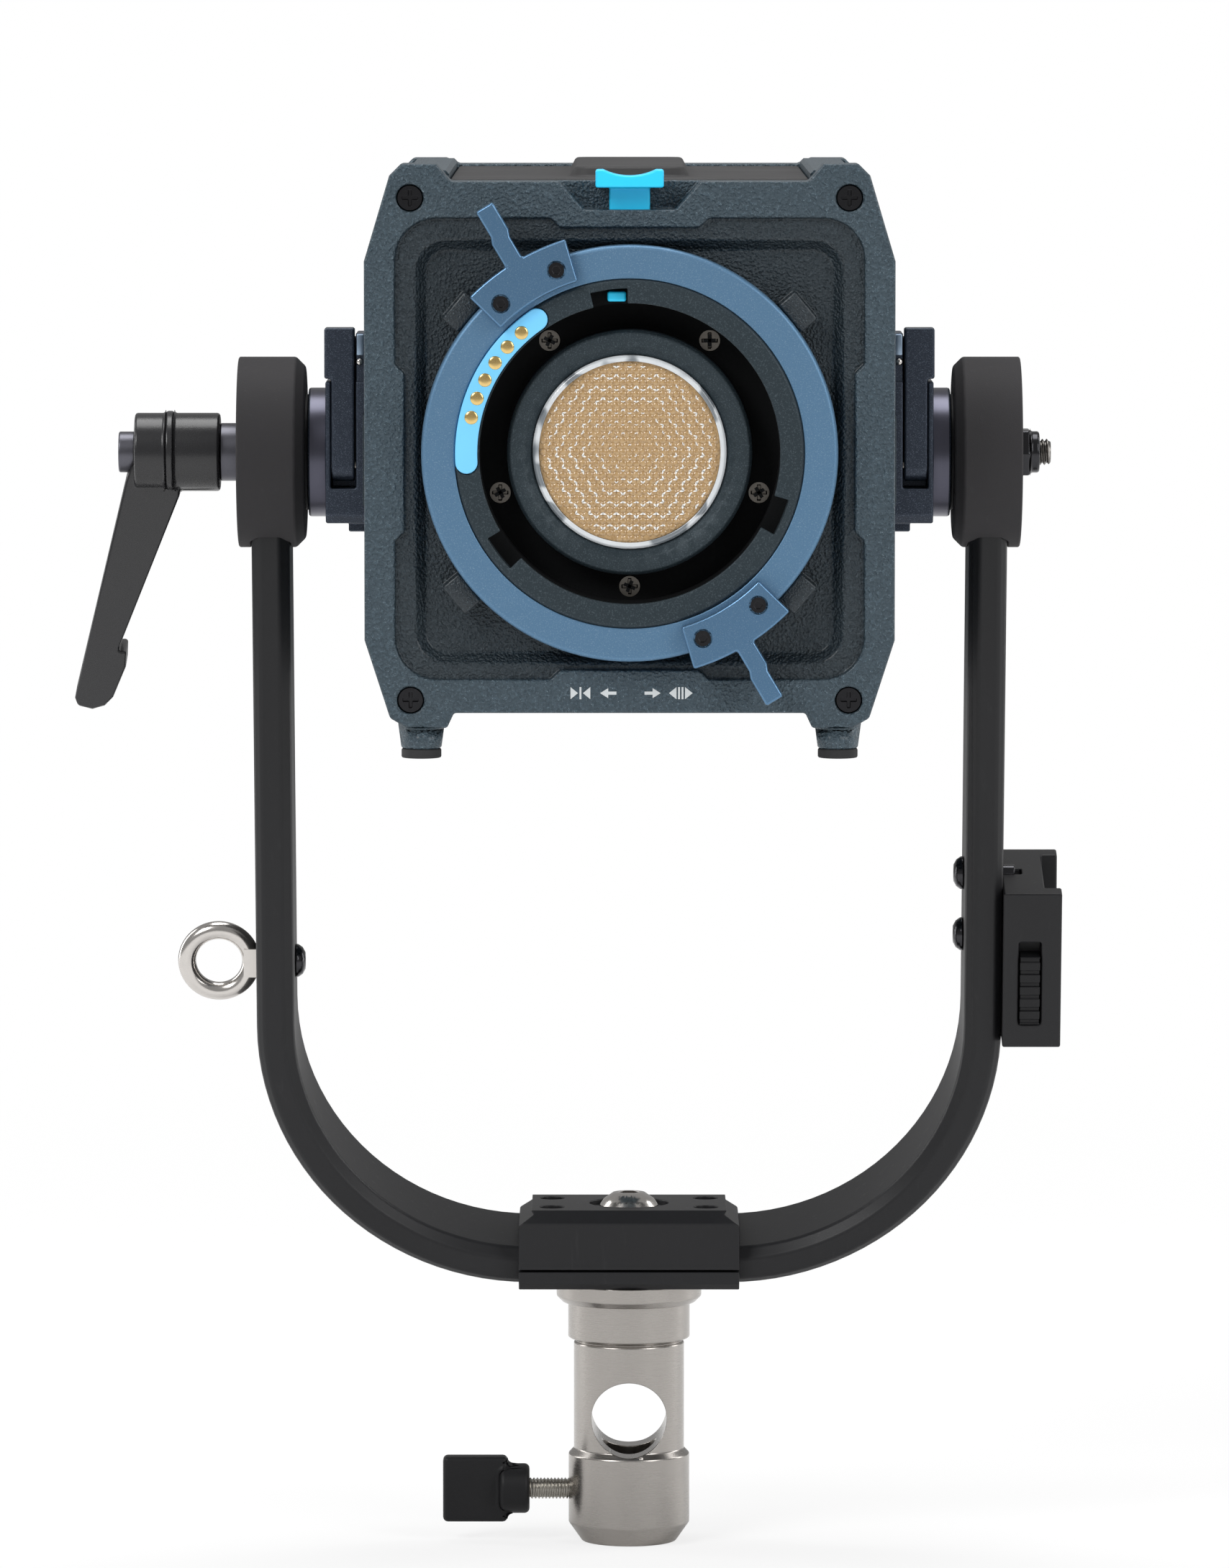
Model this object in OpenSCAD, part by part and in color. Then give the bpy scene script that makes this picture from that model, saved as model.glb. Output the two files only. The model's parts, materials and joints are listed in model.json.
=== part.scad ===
/* [Stand receiver] */
// Diameter of the stand spigot that the socket takes
spigot_d = 16; // [14:0.5:18]
// Clearance on the radius between spigot and socket
spigot_clearance = 0.15; // [0.05:0.05:0.4]
// Wall of the receiver tube around the socket
receiver_wall = 8.6; // [7:0.2:12]
// Height of the receiver from its mouth to the yoke block
receiver_h = 78.8; // [74:0.2:100]
// Depth of the socket
socket_depth = 60; // [50:1:62]
// Diameter of the sight window through the tube
window_d = 22.6; // [14:0.2:26]
// Height of the sight window's centre above the mouth
window_z = 38.5; // [36:0.5:42]
// Height of the stand screw's axis above the mouth
stand_screw_z = 15.6; // [12:0.2:18]
// Thread diameter of the stand screw
stand_screw_d = 6.4; // [5:0.2:8]

/* [Yoke] */
// Centre-to-centre span of the two yoke arms
yoke_span = 210.4; // [200:0.2:240]
// Radius of the yoke bends, to the middle of the bar
yoke_bend_r = 75.4; // [50:0.2:95]
// Height of the tilt pivot above the bar's middle, along the yoke
pivot_rise = 248.5; // [225:0.5:300]
// Thickness of the yoke bar
bar_t = 11.2; // [8:0.2:12]
// Width of the yoke bar from front to back
bar_w = 36.6; // [30:0.2:40]
// Lean of the yoke towards the front, in degrees
yoke_lean = 12.5; // [0:0.5:20]
// Radius of the round hubs at the ends of the arms
hub_r = 28; // [24:0.5:32]

/* [Head] */
// Half of the width of the front frame
frame_half_w = 76.2; // [72:0.2:80]
// Height of the front frame's top edge above the lamp axis
frame_top = 82.8; // [80:0.2:90]
// Depth of the front frame's bottom edge below the lamp axis
frame_bottom = 75; // [74:0.2:80]
// Length of the head from its front face to the rear panel
head_length = 190; // [170:1:230]
// Distance from the pivot forward to the front face
pivot_to_front = 71.2; // [66:0.2:80]
// Height of the lamp axis above the pivot
lamp_rise = 3.4; // [0:0.2:8]
// Thickness of the housing's wall
housing_wall = 2.5; // [2:0.1:4]
// Travel of the head along its side rails, each way
balance_travel = 25; // [10:1:28]

/* [Accessory mount] */
// Inner radius of the bayonet flange
bayonet_r = 43.1; // [42:0.1:44]
// Radius out to which the bayonet notches are cut
notch_r = 47.5; // [46.5:0.1:47.8]
// Outer radius of the bayonet lip
lip_r = 50; // [49.6:0.1:50.6]
// Outer radius of the lock ring
lock_ring_r = 59.75; // [58:0.05:61]
// Running clearance between turning and fixed pieces
running = 0.08; // [0.05:0.01:0.1]

/* [Optic] */
// Radius of the patterned lens
lens_r = 26; // [22:0.5:26.5]
// Outer radius of the clear rim around the lens
rim_r = 27.9; // [27:0.1:28.5]
// Outer radius of the inner collar
collar_r = 35.3; // [34:0.1:35.6]

/* [Hidden] */
$fn = 64;

// Clearance of a piece seated in its hole or recess
seat = 0.05;

// ---- Stand receiver
tube_r = spigot_d / 2 + receiver_wall;
socket_r = spigot_d / 2 + spigot_clearance;
foot_r = tube_r + 1.6;
collar_step_h = 6.1;
collar_flange_r = tube_r + 5.2;
base_bolt_r = 5;
base_bolt_reach = 13;
stand_screw_r = stand_screw_d / 2;
stand_screw_tip = socket_r + 0.4;
stand_screw_neck = 30;
knob_hub_r = 7.5;
knob_hub_l = 9;
knob_wing_l = 19.3;
knob_wing_h = 19.9;
knob_wing_t = 6.4;

// ---- Yoke block
block_half_w = 33;
block_depth = 46;
base_plate_h = 5.5;
block_gap = 0.6;
block_h = 17.6;
block_z = receiver_h + base_plate_h + block_gap;
block_top = block_z + block_h;
block_chamfer = 3.7;
bar_z = receiver_h + 10.1;
base_screw_x = 23.1;
base_screw_y = 10.8;
base_screw_r = 2;
base_screw_head_r = 3.5;
base_screw_head_h = 4;
bolt_recess_r = 11.9;
bolt_recess_depth = 2;
bolt_head_r = 8.8;
bolt_head_h = 5.4;

// ---- Yoke bar, in its own leaning plane
arm_x = yoke_span / 2;
bar_flat = arm_x - yoke_bend_r;
bar_chamfer_out = 2.3;
bar_chamfer_in = 3.1;
arm_end_r = bar_w / 2;
hub_in_x = arm_x - 10.2;
hub_out_x = arm_x + 9.5;
nut_out_x = hub_out_x + 5.8;
hub_cone = 2.8;
hub_cut = 27;
pivot_r = 4;
pivot_y = -pivot_rise * sin(yoke_lean);
pivot_z = bar_z + pivot_rise * cos(yoke_lean);
washer_t = 0.8;
washer_r = 17;
boss_r = 18.85;
boss_face_x = hub_in_x - washer_t - 0.1;

// ---- Fittings on the arms
eye_u = 91;
eye_ring_r = 9.55;
eye_wire_r = 2.7;
eye_stem = 7.5;
arm_screw_r = 2.5;
arm_screw_head_r = 5;
arm_screw_head_h = 3;
plate_screw_u = [99.4, 118.5];
battery_t = 17.3;
battery_half_w = 22;
battery_u0 = 71;
battery_u1 = 119;
battery_lip_t = 5;
release_u = 89;
release_h = 21;
release_w = 6;
release_travel = 4;

// ---- Clamp lever, outside the left hub
clamp_neck_r = 8.5;
clamp_neck_l = 5.4;
clamp_hub_r = 11.5;
clamp_hub_l = 25;
clamp_cap_l = 4.8;
clamp_cap_r = 6;
clamp_lift = 4;
clamp_neck_x = -hub_out_x - seat;
clamp_hub_x = clamp_neck_x - clamp_neck_l - seat;
clamp_cap_x = clamp_hub_x - clamp_hub_l;
clamp_arm_l = 77.1;
clamp_arm_w = 14;

// ---- Head, measured from the pivot; z is measured from the lamp axis inside lamp()
face_y = -pivot_to_front;
rear_y = face_y + head_length;
frame_t = 14;
housing_inset = 4.7;
housing_half_w = frame_half_w - housing_inset;
frame_corner_x = 68.9;
frame_shoulder = 28;
foot_lug_drop = 4.3;
step_half_w = frame_half_w - 8.8;
step_top = frame_top - 15.5;
step_bottom = frame_bottom - 9.7;
step_r = 12;
step_depth = 1.6;
step_jog = 2.7;
step_jog_half = 22.7;
pocket_slope_w = 3;
pocket_depth = 5;
pocket_half_w = step_half_w - 5.9;
pocket_top = step_top - 6.3;
pocket_bottom = step_bottom - 4.5;
pocket_r = 6;
frame_screw_x = 63;
frame_screw_inset = 9.8;
frame_screw_r = 2;
frame_screw_head_r = 3.6;
foot_x = 60;
foot_r2 = 5.75;
foot_h = 2.7;
foot_drop = frame_bottom + 13.3;
notch_depth = 11.6;
rail_half_h = 9;
rail_head_half_h = 13;
rail_neck_t = 3.1;
rail_head_t = 2.4;
rail_gap = 0.2;
bracket_half_l = 26;
rail_half_l = bracket_half_l + balance_travel + 2;
rail_screw_y = rail_half_l - 8;
rail_screw_r = 2;
rail_screw_head_r = 3.6;
bracket_in_x = housing_half_w + 1;
bracket_out_x = bracket_in_x + 16.1;
bracket_low = -19.7;
bracket_top = 36;
latch_in_x = bracket_in_x + 7.6;
latch_mid_x = bracket_out_x - 1.7;
latch_y = -21.5;
latch_z = -2.9;
latch_r = 4.5;
latch_floor = -9.4;
latch_pin_r = 1.2;
rear_drop = 2.2;
front_step = 5;
rear_step = 1.7;
housing_low = frame_bottom - 3;
housing_top = frame_top - 8.6;
tray_half_w = 52;
vent_y = rail_half_l + 5;
vent_count = 6;

// ---- Accessory mount
lip_front = face_y - 7.5;
lip_back = face_y - 5;
flange_back = face_y - 4.5;
groove_back = face_y + 0.5;
bayonet_back = face_y + 12;
bayonet_body_r = lip_r - 1;
lock_front = face_y - 7;
lock_back = face_y + 2.2;
ring_seat_r = 54;
lock_in_r = bayonet_body_r + running;
lever_in_r = 51.6;
lever_out_r = 64.2;
lever_half_a = 14.5;
lever_angles = [121.1, 301.1];
lever_t = 4.2;
lever_screw_r = 56.7;
lever_screw_a = 9.4;
finger_w = 5.6;
finger_r = 82;
bayonet_notches = [97.3, 217.3, 337.3];
notch_half_a = 6.5;
strip_r = 46.8;
strip_w = 6.4;
strip_a0 = 124.7;
strip_a1 = 183;
strip_proud = 0.7;
strip_gap = 0.18;
pin_r = 2.1;
pin_ring_r = 46.5;
pin_a0 = 131.7;
pin_step = 7.06;
pin_count = 6;
pin_travel = 1.2;
tongue_x = -3.7;
tongue_w = 5.4;
tongue_low = 43.5;
tongue_h = 2.9;
latch_cap_w = 19.6;
latch_cap_h = 5.2;
latch_cap_z = 75.9;
latch_stem_w = 11.7;
latch_bar_t = 4;
latch_bar_y = face_y + 7;
latch_gap = 0.35;

// ---- Optic and cooling
cup_floor_y = face_y + 12;
cup_t = 4;
optic_screw_ring_r = 39.2;
optic_screw_head_r = 3.1;
lens_front = face_y + 4;
lens_t = 7;
emitter_r = lens_r - 1;
emitter_y = lens_front + lens_t + 0.3;
board_y = cup_floor_y + cup_t;
plate_half = 56;
cooling_t = 6;
fin_count = 17;
fin_t = 1.4;
fin_l = 70;
sink_y = board_y + cooling_t;
sink_base_t = 5;
fan_y = sink_y + sink_base_t + fin_l;
fan_half = 46;
fan_t = 25;
fan_r = 43;
rotor_r = 41.5;
rotor_hub_r = 18;
screen_w = 62;
screen_h = 36;
screen_z = 38;
knob_x = 38;
knob_z = -14;
knob_r = 12;
knob_l = 14;
knob_shaft_r = 3;
button_r = 4;
button_pitch = 11;
button_z = -14;
button_travel = 1;
rocker_x = -34;
inlet_x = 30;
low_row_z = -48;
panel_t = 3;
panel_y = rear_y - panel_t;
panel_half_w = 60;
panel_top = 68;
panel_low = 64;
inlet_r = 11.5;
board_z = -58;
board_y0 = 62;
board_y1 = 102;

// ---- Shared shapes
function mirrored(half) = concat(half, [for (i = [len(half) - 1 : -1 : 0]) [-half[i][0], half[i][1]]]);

module prism_y(y0, y1) translate([0, y1, 0]) rotate([90, 0, 0]) linear_extrude(y1 - y0) children();
module rod_y(r, y0, y1, x = 0, z = 0) translate([x, y0, z]) rotate([-90, 0, 0]) cylinder(h = y1 - y0, r = r);
module rod_x(r, x0, x1, y = 0, z = 0) translate([x0, y, z]) rotate([0, 90, 0]) cylinder(h = x1 - x0, r = r);
module cone_x(r0, r1, x0, x1) translate([x0, 0, 0]) rotate([0, 90, 0])
    cylinder(h = x1 - x0, r1 = r0, r2 = r1);
module box(x, y, z) translate([x[0], y[0], z[0]]) cube([x[1] - x[0], y[1] - y[0], z[1] - z[0]]);
module arc_y(a0, a1) rotate([90, 0, 0]) rotate([0, 0, a0]) rotate_extrude(angle = a1 - a0) children();
module both_sides() {
    children();
    mirror([1, 0, 0]) children();
}
module yoke_plane() translate([0, 0, bar_z]) rotate([yoke_lean, 0, 0]) children();
module head_frame() translate([0, pivot_y, pivot_z]) children();
module lamp() head_frame() translate([0, 0, lamp_rise]) children();
module yoke_pivot() yoke_plane() translate([0, 0, pivot_rise]) children();

// ---- Stand receiver and its screw
module receiver_outline() polygon([
    [0, 0], [tube_r - 2.4, 0], [foot_r, 5.7], [foot_r, 26.5], [tube_r, 28.2], [tube_r, 60.3],
    [tube_r - 0.6, 60.9], [foot_r + 0.1, 62], [foot_r + 0.1, receiver_h - collar_step_h],
    [collar_flange_r - 1.8, receiver_h - collar_step_h], [collar_flange_r, receiver_h - collar_step_h + 1.8],
    [collar_flange_r, receiver_h], [0, receiver_h]
]);

module stand_receiver() color("silver") difference() {
    rotate_extrude($fn = 96) receiver_outline();
    translate([0, 0, -1]) cylinder(h = socket_depth + 1, r = socket_r);
    translate([0, 0, receiver_h - base_bolt_reach - 1])
        cylinder(h = base_bolt_reach + 2, r = base_bolt_r + seat);
    rod_y(window_d / 2, -foot_r - 1, foot_r + 1, 0, window_z);
    rod_x(stand_screw_r + running, -foot_r - 1, 0, 0, stand_screw_z);
}

module stand_screw() color("silver")
    rod_x(stand_screw_r, -stand_screw_neck - knob_hub_l + 2, -stand_screw_tip, 0, stand_screw_z);

module stand_screw_knob() color("black") translate([-stand_screw_neck, 0, stand_screw_z]) difference() {
    union() {
        rod_x(knob_hub_r, -knob_hub_l, 0);
        box([-knob_hub_l - knob_wing_l + 2.2, -knob_hub_l + 2.4], [-knob_wing_t / 2, knob_wing_t / 2],
            [-knob_wing_h / 2, knob_wing_h / 2]);
    }
    rod_x(stand_screw_r + running, -knob_hub_l + 2 - seat, 1);
}

// ---- Yoke block
module bar_section(grow = 0) {
    o = bar_t / 2 + grow;
    w = bar_w / 2 + grow;
    polygon([
        [-o, -w + bar_chamfer_in], [-o + bar_chamfer_in, -w],
        [o - bar_chamfer_out, -w], [o, -w + bar_chamfer_out],
        [o, w - bar_chamfer_out], [o - bar_chamfer_out, w],
        [-o + bar_chamfer_in, w], [-o, w - bar_chamfer_in]
    ]);
}

module bar_slot() yoke_plane() rotate([0, 90, 0])
    linear_extrude(4 * block_half_w, center = true) bar_section(0.1);

module base_screw_places() for (x = [-base_screw_x, base_screw_x], y = [-base_screw_y, base_screw_y])
    translate([x, y, 0]) children();

module block_side() polygon([
    [-block_depth / 2, block_z], [block_depth / 2, block_z], [block_depth / 2, block_top - block_chamfer],
    [block_depth / 2 - block_chamfer, block_top], [-block_depth / 2 + block_chamfer, block_top],
    [-block_depth / 2, block_top - block_chamfer]
]);

module base_block() color("#232326") difference() {
    rotate([90, 0, 90]) linear_extrude(2 * block_half_w, center = true) block_side();
    both_sides() translate([block_half_w, 0, block_top]) rotate([0, 35, 0])
        cube([6, block_depth + 2, 7], center = true);
    bar_slot();
    base_screw_places() {
        cylinder(h = 200, r = base_screw_r + 0.2);
        translate([0, 0, block_top - base_screw_head_h - 1]) cylinder(h = 20, r = base_screw_head_r + 0.2);
    }
    cylinder(h = 200, r = base_bolt_r + 0.2);
    translate([0, 0, block_top - bolt_recess_depth]) cylinder(h = 20, r = bolt_recess_r);
}

module base_plate() color("#232326") difference() {
    rotate([90, 0, 90]) linear_extrude(2 * block_half_w, center = true) polygon([
        [-block_depth / 2 + 2, receiver_h], [block_depth / 2 - 2, receiver_h],
        [block_depth / 2, receiver_h + 2],
        [block_depth / 2, receiver_h + base_plate_h], [-block_depth / 2, receiver_h + base_plate_h],
        [-block_depth / 2, receiver_h + 2]
    ]);
    bar_slot();
    base_screw_places() translate([0, 0, receiver_h - 1]) cylinder(h = 20, r = base_screw_r + seat);
    translate([0, 0, receiver_h - 1]) cylinder(h = 20, r = base_bolt_r + 0.2);
}

module base_screws() color("#303033") base_screw_places() {
    translate([0, 0, receiver_h + 1])
        cylinder(h = block_top - base_screw_head_h - 1 - receiver_h, r = base_screw_r);
    translate([0, 0, block_top - base_screw_head_h - 1]) difference() {
        cylinder(h = base_screw_head_h, r = base_screw_head_r);
        translate([0, 0, base_screw_head_h - 2]) cylinder(h = 3, r = 1.7, $fn = 6);
    }
}

module base_bolt() color("silver") difference() {
    union() {
        translate([0, 0, receiver_h - base_bolt_reach])
            cylinder(h = block_top - bolt_recess_depth - receiver_h + base_bolt_reach, r = base_bolt_r);
        translate([0, 0, block_top - bolt_recess_depth]) rotate_extrude() polygon([
            [0, 0], [bolt_head_r, 0], [bolt_head_r, 1.4], [bolt_head_r * 0.86, 3.2],
            [bolt_head_r * 0.55, bolt_head_h - 0.3],
            [0, bolt_head_h]
        ]);
    }
    translate([0, 0, block_top - bolt_recess_depth + bolt_head_h - 3]) cylinder(h = 4, r = 3.2, $fn = 6);
}

// ---- Yoke bar, hubs and pivot hardware
module arm_end() intersection() {
    linear_extrude(pivot_rise - yoke_bend_r + arm_end_r) bar_section();
    union() {
        box([-bar_t, bar_t], [-bar_w, bar_w], [-1, pivot_rise - yoke_bend_r]);
        rod_x(arm_end_r, -bar_t, bar_t, 0, pivot_rise - yoke_bend_r);
    }
}

module yoke_bar() color("#262629") difference() {
    yoke_plane() difference() {
        union() {
            rotate([0, 90, 0]) linear_extrude(2 * bar_flat, center = true) bar_section();
            both_sides() {
                translate([bar_flat, 0, yoke_bend_r]) rotate([90, 0, 0]) rotate([0, 0, -90])
                    rotate_extrude(angle = 90, $fn = 128) translate([yoke_bend_r, 0]) bar_section();
                translate([arm_x, 0, yoke_bend_r]) arm_end();
            }
        }
        rod_x(pivot_r + 0.3, -2 * arm_x, 2 * arm_x, 0, pivot_rise);
        rod_x(arm_screw_r + seat, -2 * arm_x, 0, 0, eye_u);
        for (u = plate_screw_u) rod_x(arm_screw_r + seat, 0, 2 * arm_x, 0, u);
    }
    base_screw_places() cylinder(h = 200, r = base_screw_r + 0.3);
    cylinder(h = 200, r = base_bolt_r + 0.3);
}

module hubs() color("#3e3e42") yoke_pivot() both_sides() difference() {
    union() {
        rod_x(hub_r, hub_in_x + hub_cone, hub_out_x);
        cone_x(hub_r - hub_cone, hub_r, hub_in_x, hub_in_x + hub_cone);
    }
    box([0, 2 * arm_x], [-hub_r - 1, hub_r + 1], [-2 * hub_r, -hub_cut]);
    translate([arm_x, 0, -hub_r - 2]) intersection() {
        linear_extrude(hub_r + 2 + arm_end_r + 0.1) bar_section(0.1);
        union() {
            box([-bar_t, bar_t], [-bar_w, bar_w], [-1, hub_r + 2]);
            rod_x(arm_end_r + 0.1, -bar_t, bar_t, 0, hub_r + 2);
        }
    }
    rod_x(pivot_r + 0.3, 0, 2 * arm_x);
}

module friction_washers() color("#8a8a90") yoke_pivot() both_sides() difference() {
    rod_x(washer_r, hub_in_x - washer_t, hub_in_x);
    rod_x(pivot_r + 0.3, 0, 2 * arm_x);
}

module pivot_bolt() color("#55555a") yoke_pivot() {
    rod_x(pivot_r, bracket_out_x - 3, nut_out_x);
    rod_x(pivot_r - 0.4, nut_out_x - 1, nut_out_x + 3.3);
    rotate([0, 90, 0]) translate([0, 0, bracket_out_x - 6]) cylinder(h = 3, r = 6.2, $fn = 6);
}

module pivot_nut() color("#2c2c30") yoke_pivot() difference() {
    union() {
        rotate([80, 0, 0]) rotate([0, 90, 0]) translate([0, 0, hub_out_x]) cylinder(h = 3.1, r = 7.7, $fn = 6);
        rod_x(6.1, hub_out_x + 3, nut_out_x);
    }
    rod_x(pivot_r + seat, 0, 2 * arm_x);
}

// ---- Clamp lever
module clamp_stud() color("silver") yoke_pivot() {
    rod_x(pivot_r, clamp_cap_x - 1, -bracket_out_x + 3);
    rod_x(clamp_neck_r, clamp_neck_x - clamp_neck_l, clamp_neck_x);
    rod_x(clamp_cap_r, clamp_cap_x - clamp_cap_l, clamp_cap_x);
}

// The arm hangs from the hub and leans outwards to a hooked tip
module clamp_arm_side() polygon([
    [-2.7, -7.6], [0, 0], [14, 0], [13.1, -11.6], [-5.7, 18 - clamp_arm_l], [-3.2, 18 - clamp_arm_l],
    [-3.4, 13.1 - clamp_arm_l], [-7.3, 3.7 - clamp_arm_l], [-9.8, 1.1 - clamp_arm_l],
    [-13.5, -clamp_arm_l], [-17.8, 1.1 - clamp_arm_l], [-18.6, 3.5 - clamp_arm_l]
]);

module clamp_handle() color("#1d1d20") yoke_pivot() difference() {
    union() {
        rod_x(clamp_hub_r, clamp_cap_x, clamp_hub_x);
        rod_x(clamp_hub_r + 0.6, clamp_cap_x + 9, clamp_cap_x + 11.6);
        translate([clamp_cap_x, 0, 0]) prism_y(-clamp_arm_w / 2, clamp_arm_w / 2) clamp_arm_side();
    }
    rod_x(pivot_r + running, clamp_cap_x - 20, 0);
    rod_x(clamp_cap_r + 0.3, clamp_cap_x - 20, clamp_cap_x + clamp_lift + 0.3);
}

// ---- Eyebolt and battery plate
module eyebolt() color("silver") yoke_plane() translate([-arm_x - bar_t / 2, 0, eye_u]) difference() {
    union() {
        translate([-eye_stem - eye_wire_r - 1.4, 0, 0]) rotate([90, 0, 0])
            rotate_extrude() translate([eye_ring_r, 0]) circle(r = eye_wire_r);
        box([-4.2, 0], [-2.9, 2.9], [-4.4, 4.4]);
    }
    rod_x(arm_screw_r + seat, -3, 1);
}

module eyebolt_screw() color("#2c2c30") yoke_plane() translate([-arm_x + bar_t / 2, 0, eye_u])
    arm_screw(-1, bar_t + 2.5);

module arm_screw(way, shank) difference() {
    union() {
        rod_x(arm_screw_r, way > 0 ? 0 : -shank, way > 0 ? shank : 0);
        translate([0, 0, 0]) rotate([0, -90 * way, 0]) rotate_extrude() polygon([
            [0, 0], [arm_screw_head_r, 0], [arm_screw_head_r, 0.8], [arm_screw_head_r * 0.8, 2.2],
            [arm_screw_head_r * 0.5, arm_screw_head_h], [0, arm_screw_head_h]
        ]);
    }
    translate([-way * arm_screw_head_h, 0, 0]) rotate([0, 90, 0])
        cylinder(h = 3.4, r = 1.75, center = true, $fn = 6);
}

module battery_plate_screws() color("#2c2c30") yoke_plane() for (u = plate_screw_u)
    translate([arm_x - bar_t / 2, 0, u]) arm_screw(1, bar_t + 4);

module battery_plate() color("#202024") yoke_plane() translate([arm_x + bar_t / 2, 0, 0]) difference() {
    box([0, battery_t], [-battery_half_w, battery_half_w], [battery_u0, battery_u1]);
    translate([battery_t - battery_lip_t, 0, 0]) rotate([90, 0, 90])
        linear_extrude(battery_lip_t + 1) polygon([
        [-11, battery_u0 + 14], [11, battery_u0 + 14], [16, battery_u1 + 1], [-16, battery_u1 + 1]
    ]);
    for (u = plate_screw_u) rod_x(arm_screw_r + seat, -1, 6, 0, u);
    box([5 - 0.3, 5 + release_w + 0.3], [-battery_half_w - 1, -battery_half_w + 5.4],
        [release_u - release_h / 2 - 0.3, release_u + release_h / 2 + release_travel + 0.3]);
}

module battery_release() color("#2a2a2e") yoke_plane()
    translate([arm_x + bar_t / 2, -battery_half_w, release_u])
    difference() {
        box([5, 5 + release_w], [-0.9, 5], [-release_h / 2, release_h / 2]);
        for (i = [-2 : 3]) box([4, 6 + release_w], [-2, -0.3], [i * 3.8 - 2.5, i * 3.8 - 1.3]);
    }

// ---- Brackets that carry the head, with their latch levers
module rail_section(gap = 0) {
    x0 = housing_half_w + rail_neck_t;
    polygon([
        [housing_half_w - (gap > 0 ? 1 : 0), -rail_half_h - gap], [x0 - gap, -rail_half_h - gap],
        [x0 - gap, -rail_head_half_h - gap], [x0 + rail_head_t + gap, -rail_head_half_h - gap],
        [x0 + rail_head_t + gap, rail_head_half_h + gap], [x0 - gap, rail_head_half_h + gap],
        [x0 - gap, rail_half_h + gap], [housing_half_w - (gap > 0 ? 1 : 0), rail_half_h + gap]
    ]);
}

module side_rails() color("#2a3038") head_frame() both_sides() difference() {
    prism_y(-rail_half_l, rail_half_l) rail_section();
    for (y = [-rail_screw_y, rail_screw_y]) rod_x(rail_screw_r + seat, 0, 2 * housing_half_w, y);
    for (y = [-rail_screw_y, rail_screw_y])
        rod_x(rail_screw_head_r + 0.2, housing_half_w + rail_neck_t + rail_head_t - 2, 2 * housing_half_w, y);
}

module rail_screws() color("silver") head_frame() both_sides() for (y = [-rail_screw_y, rail_screw_y])
    translate([housing_half_w + rail_neck_t + rail_head_t - 2, y, 0]) difference() {
        union() {
            rod_x(rail_screw_r, -10, 0);
            rod_x(rail_screw_head_r, 0, 1.6);
        }
        rotate([0, 90, 0]) cylinder(h = 4, r = 1.3, $fn = 6);
    }

module bracket_side(z0, z1) box([bracket_in_x, bracket_out_x], [-bracket_half_l, bracket_half_l], [z0, z1]);

module bracket() difference() {
    union() {
        difference() {
            bracket_side(bracket_low, 21.8);
            for (y = [-bracket_half_l, bracket_half_l]) translate([0, y, bracket_low])
                rotate([45, 0, 0]) cube([400, 3.6, 3.6], center = true);
        }
        box([bracket_in_x, latch_in_x - 0.4], [-bracket_half_l + 1, -8], [20, bracket_top]);
        box([bracket_in_x + 1.6, bracket_in_x + 9.5], [-20, 20], [bracket_low - 2.6, bracket_low + 1]);
        rod_x(boss_r, bracket_out_x - 1, boss_face_x);
    }
    prism_y(-bracket_half_l - 1, bracket_half_l + 1) rail_section(rail_gap);
    box([latch_in_x - 0.4, latch_mid_x + 0.1], [-bracket_half_l - 1, latch_y + latch_r + 0.5],
        [latch_floor, bracket_top]);
    rod_x(pivot_r + running, 0, bracket_out_x + 20);
    rod_x(6.8, 0, bracket_out_x - 3);
    rod_x(latch_pin_r + seat, latch_in_x - 2.5, bracket_out_x + 1, latch_y, latch_z);
}

module bracket_left() color("#343a44") head_frame() mirror([1, 0, 0]) bracket();
module bracket_right() color("#343a44") head_frame() bracket();

module latch_lever() difference() {
    union() {
        rod_x(latch_r, latch_in_x, latch_mid_x, latch_y, latch_z);
        box([latch_in_x, latch_mid_x], [latch_y - latch_r, latch_y + latch_r], [latch_z, bracket_top + 1.4]);
        box([latch_in_x, bracket_out_x + 0.3], [latch_y - latch_r, latch_y + latch_r],
            [22.6, bracket_top + 1.4]);
    }
    rod_x(latch_pin_r + running, 0, 200, latch_y, latch_z);
}

module latch_left() color("#2b3038") head_frame() mirror([1, 0, 0]) latch_lever();
module latch_right() color("#2b3038") head_frame() latch_lever();

module latch_pins() color("silver") head_frame() both_sides()
    rod_x(latch_pin_r, latch_in_x - 2.5, bracket_out_x, latch_y, latch_z);

// ---- Frames, housing and covers
function frame_half(top, step) = [
    [0, -frame_bottom], [50.5, -frame_bottom], [52.5, -frame_bottom - foot_lug_drop],
    [64, -frame_bottom - foot_lug_drop], [frame_corner_x, -frame_bottom - 1.5],
    [frame_half_w, -frame_bottom + frame_shoulder - 7], [frame_half_w, top - frame_shoulder],
    [frame_corner_x, top - 3.4], [frame_corner_x - 3.4, top], [55.5, top], [51.3, top - step], [0, top - step]
];

module frame_outline(top, step) polygon(mirrored(frame_half(top, step)));

module frame_screw_places() {
    for (x = [-frame_screw_x, frame_screw_x]) {
        translate([x, 0, frame_top - frame_screw_inset]) children();
        translate([x, 0, -frame_bottom + 3.7]) children();
    }
}

module foot_lugs(y) for (x = [-foot_x, foot_x]) translate([x, y, 0]) difference() {
    translate([0, 0, -foot_drop + foot_h]) cylinder(h = 9, r1 = foot_r2, r2 = foot_r2 + 1.2);
    translate([0, 0, -foot_drop]) cylinder(h = foot_h + 3, r = 2 + seat);
}

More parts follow.
